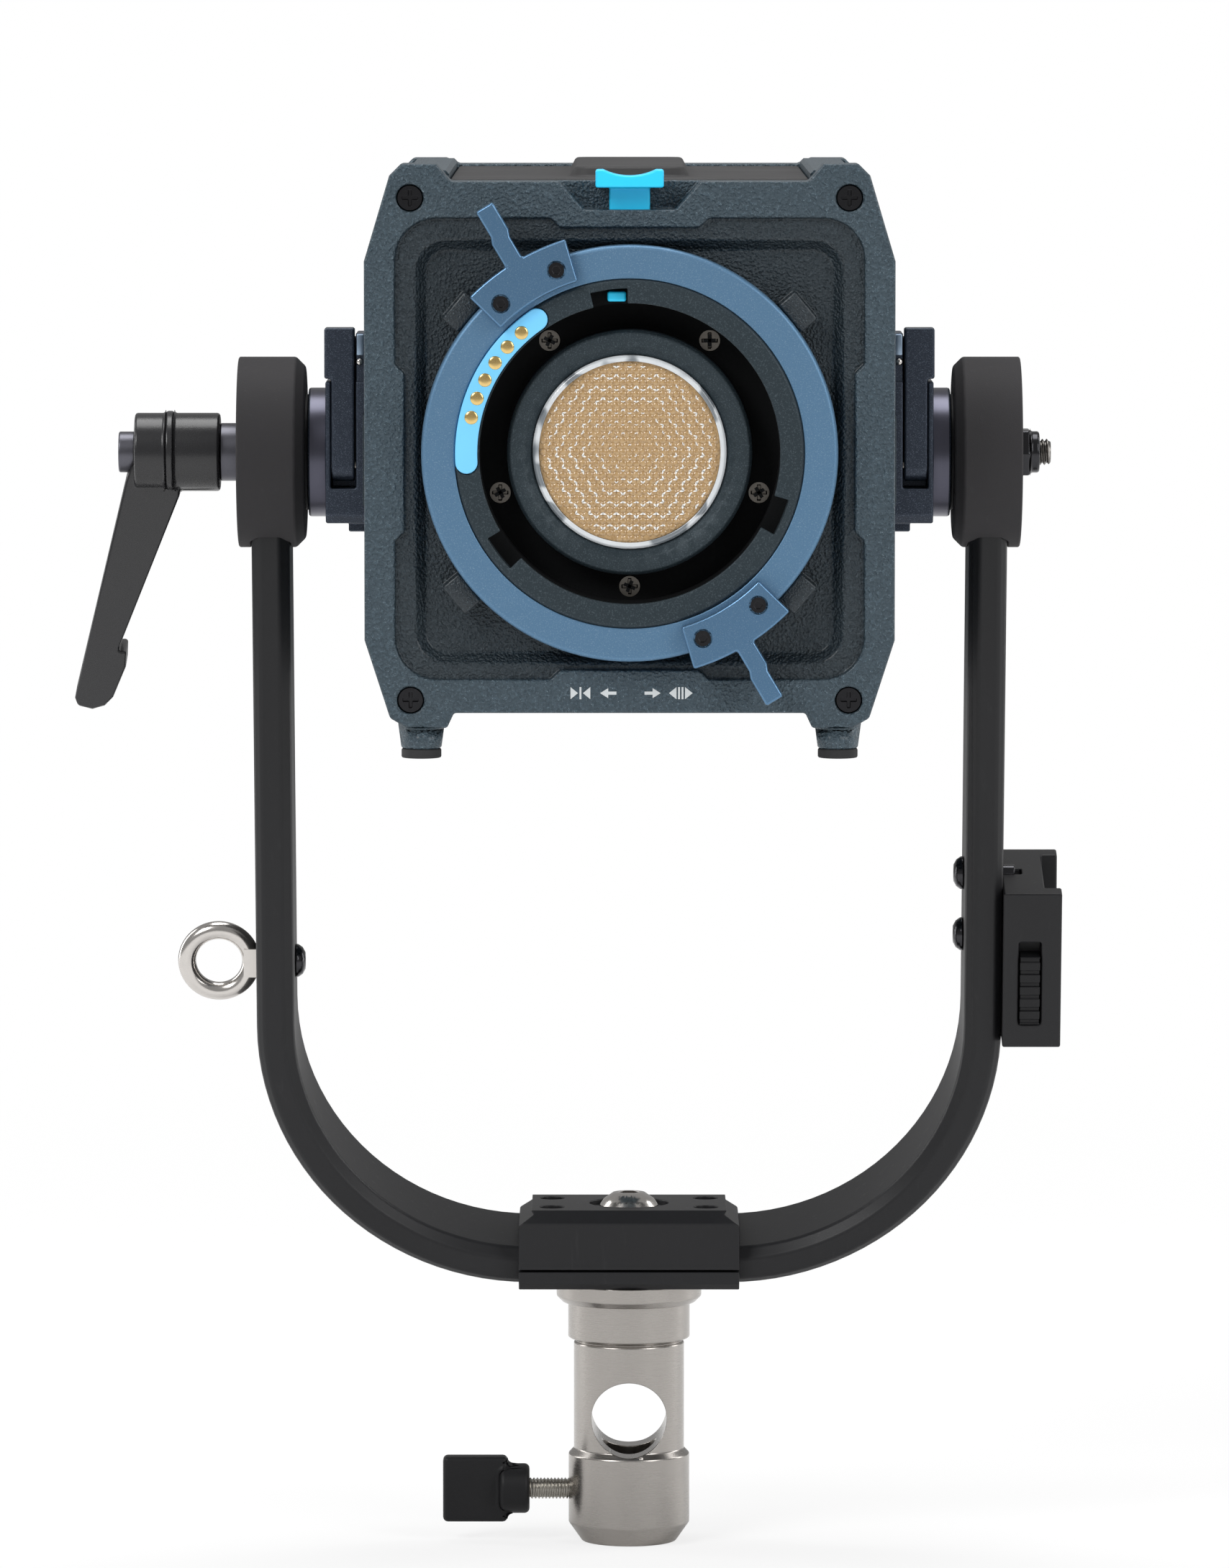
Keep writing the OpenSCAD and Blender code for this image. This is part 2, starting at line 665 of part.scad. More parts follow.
function corner(x, z, r, a0, a1) =
    [for (i = [0 : 8]) let (a = a0 + (a1 - a0) * i / 8) [x + r * cos(a), z + r * sin(a)]];

// The shallow step around the pocket moves inwards along the middle of each side
function step_half() = concat(
    [[0, step_jog - step_bottom], [step_jog_half - step_jog, step_jog - step_bottom],
     [step_jog_half, -step_bottom]],
    corner(step_half_w - step_r, step_r - step_bottom, step_r, -90, 0),
    [[step_half_w, -step_jog_half - step_jog], [step_half_w - step_jog, -step_jog_half],
     [step_half_w - step_jog, step_jog_half], [step_half_w, step_jog_half + step_jog]],
    corner(step_half_w - step_r, step_top - step_r, step_r, 0, 90),
    [[step_jog_half, step_top], [step_jog_half - step_jog, step_top - step_jog], [0, step_top - step_jog]]
);

module pocket_slope() hull() {
    prism_y(face_y + step_depth - 0.1, face_y + step_depth) pocket_rect(0, pocket_r + pocket_slope_w);
    prism_y(face_y + pocket_depth - 0.1, face_y + pocket_depth) pocket_rect(pocket_slope_w, pocket_r);
}

module pocket_rect(inset, r) translate([-pocket_half_w + inset + r, -pocket_bottom + inset + r])
    offset(r = r, $fn = 32)
        square([2 * (pocket_half_w - inset - r), pocket_top + pocket_bottom - 2 * (inset + r)]);

module corner_ribs() for (a = [40, 140, 220, 320]) rotate([0, -a, 0])
    box([59.9, 66], [face_y - 3, face_y + pocket_depth + 1], [-5, 5]);

module latch_channel() {
    box([tongue_x - tongue_w / 2 - latch_gap, latch_stem_w / 2 + latch_gap],
        [latch_bar_y - latch_gap, latch_bar_y + latch_bar_t + latch_gap], [tongue_low - 0.2, frame_top]);
}

module front_frame() color("#2b3844") lamp() difference() {
    union() {
        difference() {
            prism_y(face_y, face_y + frame_t) frame_outline(frame_top, front_step);
            prism_y(face_y - 1, face_y + step_depth) polygon(mirrored(step_half()));
            pocket_slope();
        }
        corner_ribs();
        foot_lugs(face_y + frame_t / 2);
    }
    rod_y(bayonet_body_r + seat, face_y - 20, face_y + frame_t + 1);
    prism_y(face_y - 1, face_y + notch_depth) polygon([
        [-13.1, frame_top - 13.2], [13.1, frame_top - 13.2], [20.4, frame_top - 5], [20.4, frame_top + 1],
        [-20.4, frame_top + 1], [-20.4, frame_top - 5]
    ]);
    latch_channel();
    frame_screw_places() {
        rod_y(frame_screw_r + seat, face_y - 1, face_y + frame_t + 1);
        rod_y(frame_screw_head_r + 0.3, face_y - 1, face_y + 4);
    }
}

module rear_frame() color("#2b3844") lamp() difference() {
    union() {
        prism_y(rear_y - frame_t, rear_y) frame_outline(frame_top - rear_drop, rear_step);
        foot_lugs(rear_y - frame_t / 2);
    }
    box([-panel_half_w - seat, panel_half_w + seat], [rear_y - panel_t, rear_y + 1],
        [-panel_low - seat, panel_top + seat]);
    box([-panel_half_w + 3, panel_half_w - 3], [rear_y - frame_t - 1, rear_y + 1],
        [-panel_low + 3, panel_top - 3]);
    frame_screw_places() {
        rod_y(frame_screw_r + seat, rear_y - frame_t - 1, rear_y + 1);
        rod_y(frame_screw_head_r + 0.3, rear_y - 4, rear_y + 1);
    }
}

module cross_cut(depth) {
    box([-2.3, 2.3], [-1, depth], [-0.5, 0.5]);
    box([-0.5, 0.5], [-1, depth], [-2.3, 2.3]);
}

module cross_screw(r, head_r, length, head_h) difference() {
    union() {
        rod_y(r, 0, length);
        rod_y(head_r, 0, head_h);
    }
    cross_cut(head_h * 0.7);
}

module frame_screws() color("#1b1b1e") lamp() frame_screw_places() {
    translate([0, face_y + 1.4, 0]) cross_screw(frame_screw_r, frame_screw_head_r, 23, 2.6);
    translate([0, rear_y - 1.4, 0]) mirror([0, 1, 0]) cross_screw(frame_screw_r, frame_screw_head_r, 23, 2.6);
}

module feet() color("#18181a") lamp()
    for (x = [-foot_x, foot_x], y = [face_y + frame_t / 2, rear_y - frame_t / 2])
    translate([x, y, -foot_drop]) {
        cylinder(h = foot_h, r = foot_r2);
        cylinder(h = foot_h + 2.6, r = 2);
    }

function housing_half() = [
    [0, -housing_low], [51, -housing_low], [53.5, -housing_low - 4], [63, -housing_low - 4],
    [frame_corner_x - 2.4, -housing_low - 1.5], [housing_half_w, -housing_low + 19],
    [housing_half_w, housing_top - 20], [frame_corner_x - 2.9, housing_top + 3.4], [64, housing_top + 6.4],
    [tray_half_w + 1, housing_top + 6.4], [tray_half_w, housing_top + 5.4],
    [tray_half_w, housing_top], [0, housing_top]
];

function cavity_half() = [
    [0, -housing_low + housing_wall], [57, -housing_low + housing_wall], [housing_half_w - housing_wall, -50],
    [housing_half_w - housing_wall, 50], [57, housing_top - housing_wall], [0, housing_top - housing_wall]
];

module housing() color("#27303a") lamp() difference() {
    union() {
        difference() {
            prism_y(face_y + frame_t, rear_y - frame_t) polygon(mirrored(housing_half()));
            prism_y(face_y, rear_y) polygon(mirrored(cavity_half()));
        }
        board_places() cylinder(h = board_z + housing_low - 1, r = 3.5);
    }
    for (i = [0 : vent_count - 1]) box([-100, 100], [vent_y + i * 6, vent_y + i * 6 + 3], [-38, 38]);
    for (i = [0 : 5]) box([-36, 36], [-30 + i * 7, -26.5 + i * 7],
        [-housing_low - 1, -housing_low + housing_wall + 1]);
    frame_screw_places() {
        rod_y(frame_screw_r + seat, face_y, face_y + 26);
        rod_y(frame_screw_r + seat, rear_y - 26, rear_y);
    }
    translate([0, 0, -lamp_rise]) for (x = [-200, 0], y = [-rail_screw_y, rail_screw_y])
        rod_x(rail_screw_r + seat, x, x + 200, y);
}

module board_places() for (x = [-44, 44], y = [board_y0 + 5, board_y1 - 5])
    translate([x, y, -housing_low + 1]) children();

module top_cover() color("#4a4b4e") lamp() {
    box([-tray_half_w + 0.3, tray_half_w - 0.3], [face_y + frame_t, rear_y - frame_t],
        [housing_top, housing_top + 4]);
    translate([0, 0, housing_top + 3.9])
        hull() for (x = [-11.5, 11.5], y = [face_y + frame_t + 30, rear_y - frame_t - 9])
        translate([x, y, 0]) cylinder(h = 3, r1 = 6, r2 = 4.5, $fn = 32);
}

// ---- Accessory mount
module bayonet_ring() color("#26323c") lamp() difference() {
    rotate([-90, 0, 0]) rotate_extrude($fn = 128) polygon([
        [bayonet_r, lip_front], [lip_r - 0.6, lip_front], [lip_r, lip_front + 0.6], [lip_r, lip_back],
        [bayonet_body_r, lip_back], [bayonet_body_r, lock_back + running], [ring_seat_r, lock_back + running],
        [ring_seat_r, face_y + pocket_depth], [bayonet_body_r, face_y + pocket_depth],
        [bayonet_body_r, bayonet_back], [bayonet_r, bayonet_back],
        [bayonet_r, groove_back], [notch_r, groove_back], [notch_r, flange_back], [bayonet_r, flange_back]
    ]);
    for (a = bayonet_notches) arc_y(a - notch_half_a, a + notch_half_a)
        translate([0, -flange_back - 0.5]) square([notch_r - 0.1, 10]);
    strip_shape(strip_gap, lip_front - 5, lip_back);
    pin_places() rod_y(pin_r + seat, lip_front - 5, groove_back);
    box([tongue_x - tongue_w / 2 - 0.3, tongue_x + tongue_w / 2 + 0.3], [flange_back, bayonet_back + 1],
        [tongue_low - 0.3, bayonet_body_r + 1]);
}

module strip_shape(grow, y0, y1) {
    arc_y(strip_a0, strip_a1) translate([strip_r - strip_w / 2 - grow, -y1])
        square([strip_w + 2 * grow, y1 - y0]);
    for (a = [strip_a0, strip_a1])
        rod_y(strip_w / 2 + grow - 0.03, y0, y1, strip_r * cos(a), strip_r * sin(a));
}

module pin_places() for (i = [0 : pin_count - 1]) {
    a = pin_a0 + i * pin_step;
    translate([pin_ring_r * cos(a), 0, pin_ring_r * sin(a)]) children();
}

module contact_strip() color("#6fc0ee") lamp() difference() {
    strip_shape(0, lip_front - strip_proud, lip_back);
    pin_places() rod_y(pin_r + seat, lip_front - 5, lip_back + 1);
}

module contact_pins() color("gold") lamp() pin_places()
    rod_y(pin_r, lip_front - strip_proud - 0.4, groove_back - pin_travel - 1);

module lock_ring() color("#5b83a8") lamp() difference() {
    rotate([-90, 0, 0]) rotate_extrude($fn = 128) polygon([
        [lip_r + running, lock_front], [lock_ring_r - 0.8, lock_front], [lock_ring_r, lock_front + 0.8],
        [lock_ring_r, lock_back], [lock_in_r, lock_back], [lock_in_r, lip_back + running],
        [lip_r + running, lip_back + running]
    ]);
    lever_screw_places() rod_y(1.5 + seat, lock_front - 1, lock_front + 7);
}

module lever_screw_places() for (a = lever_angles, s = [-lever_screw_a, lever_screw_a])
    translate([lever_screw_r * cos(a + s), 0, lever_screw_r * sin(a + s)]) children();

module lock_levers() color("#6088ad") lamp() difference() {
    for (a = lever_angles) {
        arc_y(a - lever_half_a, a + lever_half_a) translate([lever_in_r, -lock_front])
            square([lever_out_r - lever_in_r, lever_t]);
        rotate([0, -a, 0]) prism_y(lock_front - lever_t, lock_front + 0.4) polygon([
            [lever_out_r - 2, -finger_w / 2], [71, -finger_w / 2], [73, -finger_w / 2 - 0.9],
            [finger_r, -finger_w / 2 - 0.9], [finger_r, finger_w / 2 - 0.9], [73.6, finger_w / 2 - 0.9],
            [71.6, finger_w / 2], [lever_out_r - 2, finger_w / 2]
        ]);
    }
    lever_screw_places() {
        rod_y(1.5 + seat, lock_front - 10, lock_front + 1);
        translate([0, lock_front - lever_t, 0]) rotate([-90, 0, 0]) cylinder(h = 2.2, r1 = 3.45, r2 = 1.6);
    }
}

module lever_screw() difference() {
    union() {
        rod_y(1.5, lock_front - lever_t + 2, lock_front + 6);
        translate([0, lock_front - lever_t + 0.1, 0]) rotate([-90, 0, 0])
            cylinder(h = 2.1, r1 = 3.3, r2 = 1.5);
    }
    translate([0, lock_front - lever_t - 1, 0]) rotate([-90, 0, 0]) cylinder(h = 2.3, r = 1.3, $fn = 6);
}

module lock_lever_screws() color("#1e1e22") lamp() lever_screw_places() lever_screw();

module release_latch() color("#45b6ee") lamp() {
    difference() {
        box([-latch_cap_w / 2, latch_cap_w / 2], [face_y + 1, latch_bar_y + latch_bar_t],
            [latch_cap_z, latch_cap_z + latch_cap_h]);
        rod_y(17, face_y - 1, face_y + 20, 0, latch_cap_z + latch_cap_h + 15.2);
    }
    box([-latch_stem_w / 2, latch_stem_w / 2], [latch_bar_y, latch_bar_y + latch_bar_t],
        [frame_top - 24, latch_cap_z + 1]);
    box([tongue_x - tongue_w / 2, tongue_x + tongue_w / 2], [latch_bar_y, latch_bar_y + latch_bar_t],
        [tongue_low, frame_top - 20]);
    box([tongue_x - tongue_w / 2, tongue_x + tongue_w / 2], [flange_back + 0.4, latch_bar_y + 1],
        [tongue_low, tongue_low + tongue_h]);
}

// ---- Optic and cooling
module optic_screw_places() for (i = [0 : 4]) {
    a = i * 72 - 90;
    translate([optic_screw_ring_r * cos(a), 0, optic_screw_ring_r * sin(a)]) children();
}

module optic_cup() color("#1d242b") lamp() difference() {
    union() {
        rod_y(bayonet_body_r, cup_floor_y, board_y);
        rod_y(bayonet_body_r + 3, face_y + frame_t, board_y);
    }
    rod_y(emitter_r + 0.3, cup_floor_y - 1, board_y + 1);
    optic_screw_places() {
        rod_y(1.5 + seat, cup_floor_y - 1, board_y + 1);
        translate([0, cup_floor_y, 0]) rotate([-90, 0, 0]) cylinder(h = 2, r1 = 3.25, r2 = 1.55);
    }
}

module optic_collar() color("#2a353f") lamp() rotate([-90, 0, 0]) rotate_extrude($fn = 96) polygon([
    [rim_r + seat, face_y + 4.4], [rim_r + 2.6, face_y + 2.2], [collar_r - 1, face_y + 1.6],
    [collar_r, face_y + 2.6], [collar_r, cup_floor_y], [rim_r + seat, cup_floor_y]
]);

module optic_screws() color("#77777c") lamp() optic_screw_places() difference() {
    union() {
        rod_y(1.5, cup_floor_y + 1, board_y + cooling_t - 1);
        translate([0, cup_floor_y + 0.1, 0]) rotate([-90, 0, 0])
            cylinder(h = 1.8, r1 = optic_screw_head_r, r2 = 1.5);
    }
    translate([0, cup_floor_y + 0.1, 0]) cross_cut(1.1);
}

module lens_rim() color([0.85, 0.88, 0.9, 0.6]) lamp() rotate([-90, 0, 0]) rotate_extrude($fn = 96) polygon([
    [lens_r + seat, lens_front - 1], [rim_r - 0.7, lens_front - 1],
    [rim_r, lens_front - 0.3], [rim_r, cup_floor_y],
    [lens_r + seat, cup_floor_y]
]);

module lens_array() color([0.9, 0.85, 0.7, 0.6]) lamp() rod_y(lens_r, lens_front, lens_front + lens_t);

module led_emitter() color("#c9a266") lamp() {
    rod_y(emitter_r, emitter_y, board_y);
}

module cooling_plate() color("#b5672f") lamp() difference() {
    box([-plate_half, plate_half], [board_y, board_y + cooling_t], [-plate_half, plate_half]);
    optic_screw_places() rod_y(1.5 + seat, board_y - 1, board_y + cooling_t - 0.5);
}

module heatsink() color("#9a9ca0") lamp() {
    box([-plate_half + 2, plate_half - 2], [sink_y, sink_y + sink_base_t], [-plate_half + 2, plate_half - 2]);
    for (i = [0 : fin_count - 1]) {
        x = -plate_half + 2 + i * (2 * plate_half - 4 - fin_t) / (fin_count - 1);
        box([x, x + fin_t], [sink_y + sink_base_t - 1, sink_y + sink_base_t + fin_l],
            [-plate_half + 2, plate_half - 2]);
    }
}

module fan_frame() color("#202022") lamp() difference() {
    union() {
        difference() {
            box([-fan_half, fan_half], [fan_y, fan_y + fan_t], [-fan_half, fan_half]);
            rod_y(fan_r, fan_y - 1, fan_y + fan_t + 1);
        }
        rod_y(rotor_hub_r - 1, fan_y + fan_t - 4, fan_y + fan_t);
        for (a = [45, 135]) rotate([0, a, 0])
            box([-fan_r - 2, fan_r + 2], [fan_y + fan_t - 3, fan_y + fan_t], [-2, 2]);
    }
    for (x = [-fan_half + 5, fan_half - 5], z = [-fan_half + 5, fan_half - 5])
        rod_y(2.1, fan_y - 1, fan_y + fan_t + 1, x, z);
    rod_y(2 + running, fan_y, fan_y + fan_t + 1);
}

module fan_rotor() color("#2c2c30") lamp() {
    rod_y(rotor_hub_r, fan_y + 2, fan_y + fan_t - 4.6);
    rod_y(2, fan_y + 3, fan_y + fan_t - 0.5);
    for (i = [0 : 8]) rotate([0, i * 40, 0]) translate([0, fan_y + fan_t / 2 - 1.5, 0])
        rotate([35, 0, 0]) box([rotor_hub_r - 1, rotor_r - 0.9], [-1, 1], [-9, 9]);
}

module driver_board() color("#1f5a3c") lamp() translate([0, 0, board_z]) {
    box([-50, 50], [board_y0, board_y1], [0, 1.6]);
    box([-38, -14], [board_y0 + 6, board_y1 - 8], [1.5, 16]);
    box([6, 30], [board_y0 + 8, board_y1 - 10], [1.5, 11]);
    for (y = [board_y0 + 10, board_y1 - 12]) translate([-2, y, 1.5]) cylinder(h = 14, r = 5);
}

// ---- Rear panel and controls
module rear_panel() color("#17181b") lamp() difference() {
    union() {
        box([-panel_half_w, panel_half_w], [panel_y, rear_y], [-panel_low, panel_top]);
        for (x = [-knob_x, knob_x]) rod_y(7, panel_y - 8, panel_y + 1, x, knob_z);
        box([rocker_x - 9.5, rocker_x + 9.5], [panel_y - 12, panel_y + 1],
            [low_row_z - 7.5, low_row_z + 7.5]);
    }
    box([-screen_w / 2 - seat, screen_w / 2 + seat], [rear_y - 1.5, rear_y + 1],
        [screen_z - screen_h / 2 - seat, screen_z + screen_h / 2 + seat]);
    for (x = [-knob_x, knob_x]) rod_y(knob_shaft_r + running, panel_y - 7, rear_y + 1, x, knob_z);
    button_places() rod_y(button_r + 0.15, panel_y - 1, rear_y + 1);
    box([rocker_x - 7, rocker_x + 7], [panel_y - 10, rear_y + 1], [low_row_z - 5, low_row_z + 5]);
    rod_x(1 + running, rocker_x - 8.5, rocker_x + 8.5, rear_y - 3, low_row_z);
    rod_y(inlet_r + seat, panel_y - 1, rear_y + 1, inlet_x, low_row_z);
}

module button_places(which = [-1, 0, 1]) for (i = which)
    translate([i * button_pitch, 0, button_z]) children();

module display_window() color([0.1, 0.11, 0.12, 0.95]) lamp()
    box([-screen_w / 2, screen_w / 2], [rear_y - 1.5, rear_y],
        [screen_z - screen_h / 2, screen_z + screen_h / 2]);

module turn_knob(x) lamp() translate([x, 0, knob_z]) {
    rod_y(knob_shaft_r, panel_y - 6, rear_y + 1);
    difference() {
        rod_y(knob_r, rear_y + 0.4, rear_y + knob_l);
        for (i = [0 : 23]) rotate([0, i * 15, 0])
            box([knob_r - 0.5, knob_r + 1], [rear_y + 2, rear_y + knob_l + 1], [-0.5, 0.5]);
    }
}

module brightness_knob() color("#2e2f33") turn_knob(knob_x);
module colour_knob() color("#2e2f33") turn_knob(-knob_x);

module push_button(which) lamp() button_places([which]) {
    rod_y(button_r, panel_y - 2.4, rear_y + button_travel + 0.6);
    rod_y(button_r + 0.8, panel_y - 2.4, panel_y - 0.15);
}

module mode_button() color("#3c3d42") push_button(-1);
module menu_button() color("#3c3d42") push_button(0);
module back_button() color("#3c3d42") push_button(1);

module power_rocker() color("#26272b") lamp() translate([rocker_x, rear_y - 3, low_row_z]) difference() {
    union() {
        box([-6.7, 6.7], [-3, 4.4], [-4.4, 4.4]);
        rod_x(1, -8.3, 8.3);
    }
    translate([0, 10.2, 0]) rod_x(7.5, -7, 7);
}

module power_inlet() color("#3a3b40") lamp() translate([inlet_x, 0, low_row_z]) {
    difference() {
        union() {
            rod_y(inlet_r, panel_y - 12, rear_y + 1);
            difference() {
                box([-15, 15], [rear_y, rear_y + 1.8], [-15, 15]);
                for (x = [-11.5, 11.5]) rod_y(1.6, rear_y - 1, rear_y + 3, x, x);
            }
        }
        rod_y(inlet_r - 2, panel_y - 10, rear_y + 3);
    }
    for (a = [45, 135, 225, 315]) rod_y(1.2, panel_y - 11, rear_y - 2, 4.6 * cos(a), 4.6 * sin(a));
}

yoke_bar();
hubs();
base_block();
base_plate();
base_screws();
base_bolt();
stand_receiver();
eyebolt();
eyebolt_screw();
battery_plate();
battery_plate_screws();
battery_release();
pivot_bolt();
pivot_nut();
friction_washers();
stand_screw();
stand_screw_knob();
clamp_stud();
clamp_handle();
bracket_left();
bracket_right();
latch_left();
latch_right();
latch_pins();
side_rails();
front_frame();
housing();
top_cover();
rear_frame();
rear_panel();
feet();
frame_screws();
bayonet_ring();
lock_ring();
lock_levers();
lock_lever_screws();
contact_strip();
contact_pins();
release_latch();
optic_cup();
optic_collar();
optic_screws();
lens_rim();
lens_array();
led_emitter();
cooling_plate();
heatsink();
fan_frame();
fan_rotor();
driver_board();
display_window();
brightness_knob();
colour_knob();
mode_button();
menu_button();
back_button();
power_rocker();
power_inlet();
rail_screws();
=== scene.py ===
"""Looks of a compact studio spotlight head in its yoke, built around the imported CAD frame."""

import json
import logging
import math
import random
from dataclasses import dataclass
from enum import Enum

import bmesh
import bpy
from mathutils import Matrix, Vector


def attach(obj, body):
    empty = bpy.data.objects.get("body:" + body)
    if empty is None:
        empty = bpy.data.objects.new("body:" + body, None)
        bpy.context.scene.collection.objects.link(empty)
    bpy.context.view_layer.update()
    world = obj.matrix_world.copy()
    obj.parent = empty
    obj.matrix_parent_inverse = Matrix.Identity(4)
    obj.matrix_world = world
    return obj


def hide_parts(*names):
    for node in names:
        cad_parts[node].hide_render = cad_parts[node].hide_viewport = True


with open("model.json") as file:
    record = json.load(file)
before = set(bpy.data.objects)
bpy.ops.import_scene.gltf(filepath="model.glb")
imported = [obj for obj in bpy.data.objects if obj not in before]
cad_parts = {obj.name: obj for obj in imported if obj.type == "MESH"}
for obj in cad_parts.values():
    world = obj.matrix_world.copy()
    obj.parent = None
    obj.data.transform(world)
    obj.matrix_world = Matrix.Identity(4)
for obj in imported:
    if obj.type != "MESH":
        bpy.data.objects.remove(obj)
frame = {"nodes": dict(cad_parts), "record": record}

LOG = logging.getLogger("spotlight")
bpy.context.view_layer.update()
MM = 0.001
Colour = tuple[float, float, float]
Spot = tuple[float, float, float]
Point = tuple[float, float]
Socket = bpy.types.NodeSocket


# ---------------------------------------------------------------- shader maths
class Value:
    """A number socket of a shader that takes part in Python arithmetic."""

    def __init__(self, graph: "Graph", socket: Socket) -> None:
        """Keeps the graph that owns the socket, and the socket."""
        self.graph = graph
        self.socket = socket

    def _math(self, operation: str, *others: "Value | float", swap: bool = False) -> "Value":
        """Adds one Math node.

        Args:
            operation: the Math node's operation.
            others: the values after this one.
            swap: whether this value goes second.

        Returns:
            The node's result.
        """
        terms = [*others, self] if swap else [self, *others]
        node = self.graph.node("ShaderNodeMath", {"operation": operation}, dict(enumerate(terms)))
        return Value(self.graph, node.outputs[0])

    def __add__(self, other: "Value | float") -> "Value":
        """Sum."""
        return self._math("ADD", other)

    __radd__ = __add__

    def __sub__(self, other: "Value | float") -> "Value":
        """Difference."""
        return self._math("SUBTRACT", other)

    def __rsub__(self, other: float) -> "Value":
        """Difference from a number."""
        return self._math("SUBTRACT", other, swap=True)

    def __mul__(self, other: "Value | float") -> "Value":
        """Product."""
        return self._math("MULTIPLY", other)

    __rmul__ = __mul__

    def __pow__(self, other: "Value | float") -> "Value":
        """Power."""
        return self._math("POWER", other)

    def sine(self) -> "Value":
        """Sine of the value, in radians."""
        return self._math("SINE")

    def smooth(self, low: float, high: float) -> "Value":
        """Rises smoothly between two values.

        Args:
            low: where the result is 0.
            high: where it is 1.

        Returns:
            The result.
        """
        settings = {"interpolation_type": "SMOOTHSTEP"}
        node = self.graph.node("ShaderNodeMapRange", settings, {0: self, 1: low, 2: high})
        return Value(self.graph, node.outputs[0])


class Graph:
    """The node tree of a material or a world, with a short way to add nodes."""

    def __init__(self, owner: bpy.types.Material | bpy.types.World) -> None:
        """Keeps and empties the tree.

        Args:
            owner: the material or world that the tree belongs to.
        """
        owner.use_nodes = True
        self.owner = owner
        self.tree = owner.node_tree
        self.tree.nodes.clear()

    def node(self, kind: str, settings: dict | None = None, inputs: dict | None = None) -> bpy.types.Node:
        """Adds one node.

        Args:
            kind: the node's type.
            settings: its properties, set before its sockets.
            inputs: a value, a link or a Value for each socket, by name or index.

        Returns:
            The node.
        """
        node = self.tree.nodes.new(kind)
        for key, value in (settings or {}).items():
            setattr(node, key, value)
        for key, value in (inputs or {}).items():
            socket = value.socket if isinstance(value, Value) else value
            if isinstance(socket, bpy.types.NodeSocket):
                self.tree.links.new(socket, node.inputs[key])
            else:
                node.inputs[key].default_value = socket
        return node

    def place(self, scale: Spot = (1, 1, 1)) -> Socket:
        """Object coordinates, scaled along each axis."""
        socket = self.node("ShaderNodeTexCoord").outputs["Object"]
        return self.node("ShaderNodeMapping", {}, {"Vector": socket, "Scale": scale}).outputs[0]

    def axes(self, where: Socket) -> list[Value]:
        """The three coordinates of a place."""
        return [Value(self, output) for output in self.node("ShaderNodeSeparateXYZ", {}, {0: where}).outputs]

    def noise(self, where: Socket, scale: float, detail: float = 2, rough: float = 0.5) -> Value:
        """Noise from 0 to 1 at so many features a metre."""
        inputs = {"Vector": where, "Scale": scale, "Detail": detail, "Roughness": rough}
        return Value(self, self.node("ShaderNodeTexNoise", {}, inputs).outputs[0])

    def cells(self, where: Socket, scale: float, feature: str = "F1") -> Value:
        """Voronoi cells at so many a metre."""
        inputs = {"Vector": where, "Scale": scale}
        return Value(self, self.node("ShaderNodeTexVoronoi", {"feature": feature}, inputs).outputs[0])

    def blend(self, factor: Value | float, first: Colour | Value, second: Colour | Value) -> Value:
        """Mixes two colours.

        Args:
            factor: the share of the second.
            first: the first colour.
            second: the second colour.

        Returns:
            The mixed colour.
        """
        mix = self.node("ShaderNodeMix", {"data_type": "RGBA"}, {0: factor})
        for socket, colour in ((mix.inputs[6], first), (mix.inputs[7], second)):
            if isinstance(colour, Value):
                self.tree.links.new(colour.socket, socket)
            else:
                socket.default_value = (*colour, 1)
        return Value(self, mix.outputs[2])

    def bump(self, height: Value, depth: float) -> Value:
        """A normal from a height of 0 to 1 that stands for so many metres."""
        inputs = {"Strength": 1.0, "Distance": depth, "Height": height}
        return Value(self, self.node("ShaderNodeBump", {}, inputs).outputs[0])


# ---------------------------------------------------------------- finishes
Sockets = dict[str, Value | float]


@dataclass(frozen=True)
class Finish:
    """What all finishes share: a name, and a Principled shader that a subclass fills in."""

    name: str

    def material(self) -> bpy.types.Material:
        """Builds the material.

        Returns:
            The material, named after the finish.
        """
        graph = Graph(bpy.data.materials.new(self.name))
        inputs = {name.replace("_", " "): value for name, value in self.sockets(graph, graph.place()).items()}
        shader = graph.node("ShaderNodeBsdfPrincipled", {}, inputs)
        graph.node("ShaderNodeOutputMaterial", {}, {0: shader.outputs[0]})
        return graph.owner

    def sockets(self, graph: Graph, where: Socket) -> Sockets:
        """Builds what feeds the shader.

        Args:
            graph: the material's node tree.
            where: the object coordinates.

        Returns:
            The shader's sockets, with the spaces of their names written as underscores.
        """
        raise NotImplementedError


@dataclass(frozen=True)
class Recess:
    """Shade painted into a pocket of a face: where the pocket starts, and its size, in metres."""

    rim: float = -0.1249
    bottom: float = -0.1234
    middle: float = 0.33591
    wide: Point = (0.0675, 0.0685)
    high: Point = (0.0664, 0.0675)

    def mask(self, graph: Graph, where: Socket) -> Value:
        """How deep a place lies in the pocket, from 0 to 1.

        Args:
            graph: the material's node tree.
            where: the object coordinates.

        Returns:
            The mask.
        """
        across, along, up = graph.axes(where)
        depth = along.smooth(self.rim, self.bottom)
        for reach, (inner, outer) in ((across, self.wide), (up - self.middle, self.high)):
            depth = depth * (1 - (reach * reach).smooth(inner**2, outer**2))
        return depth


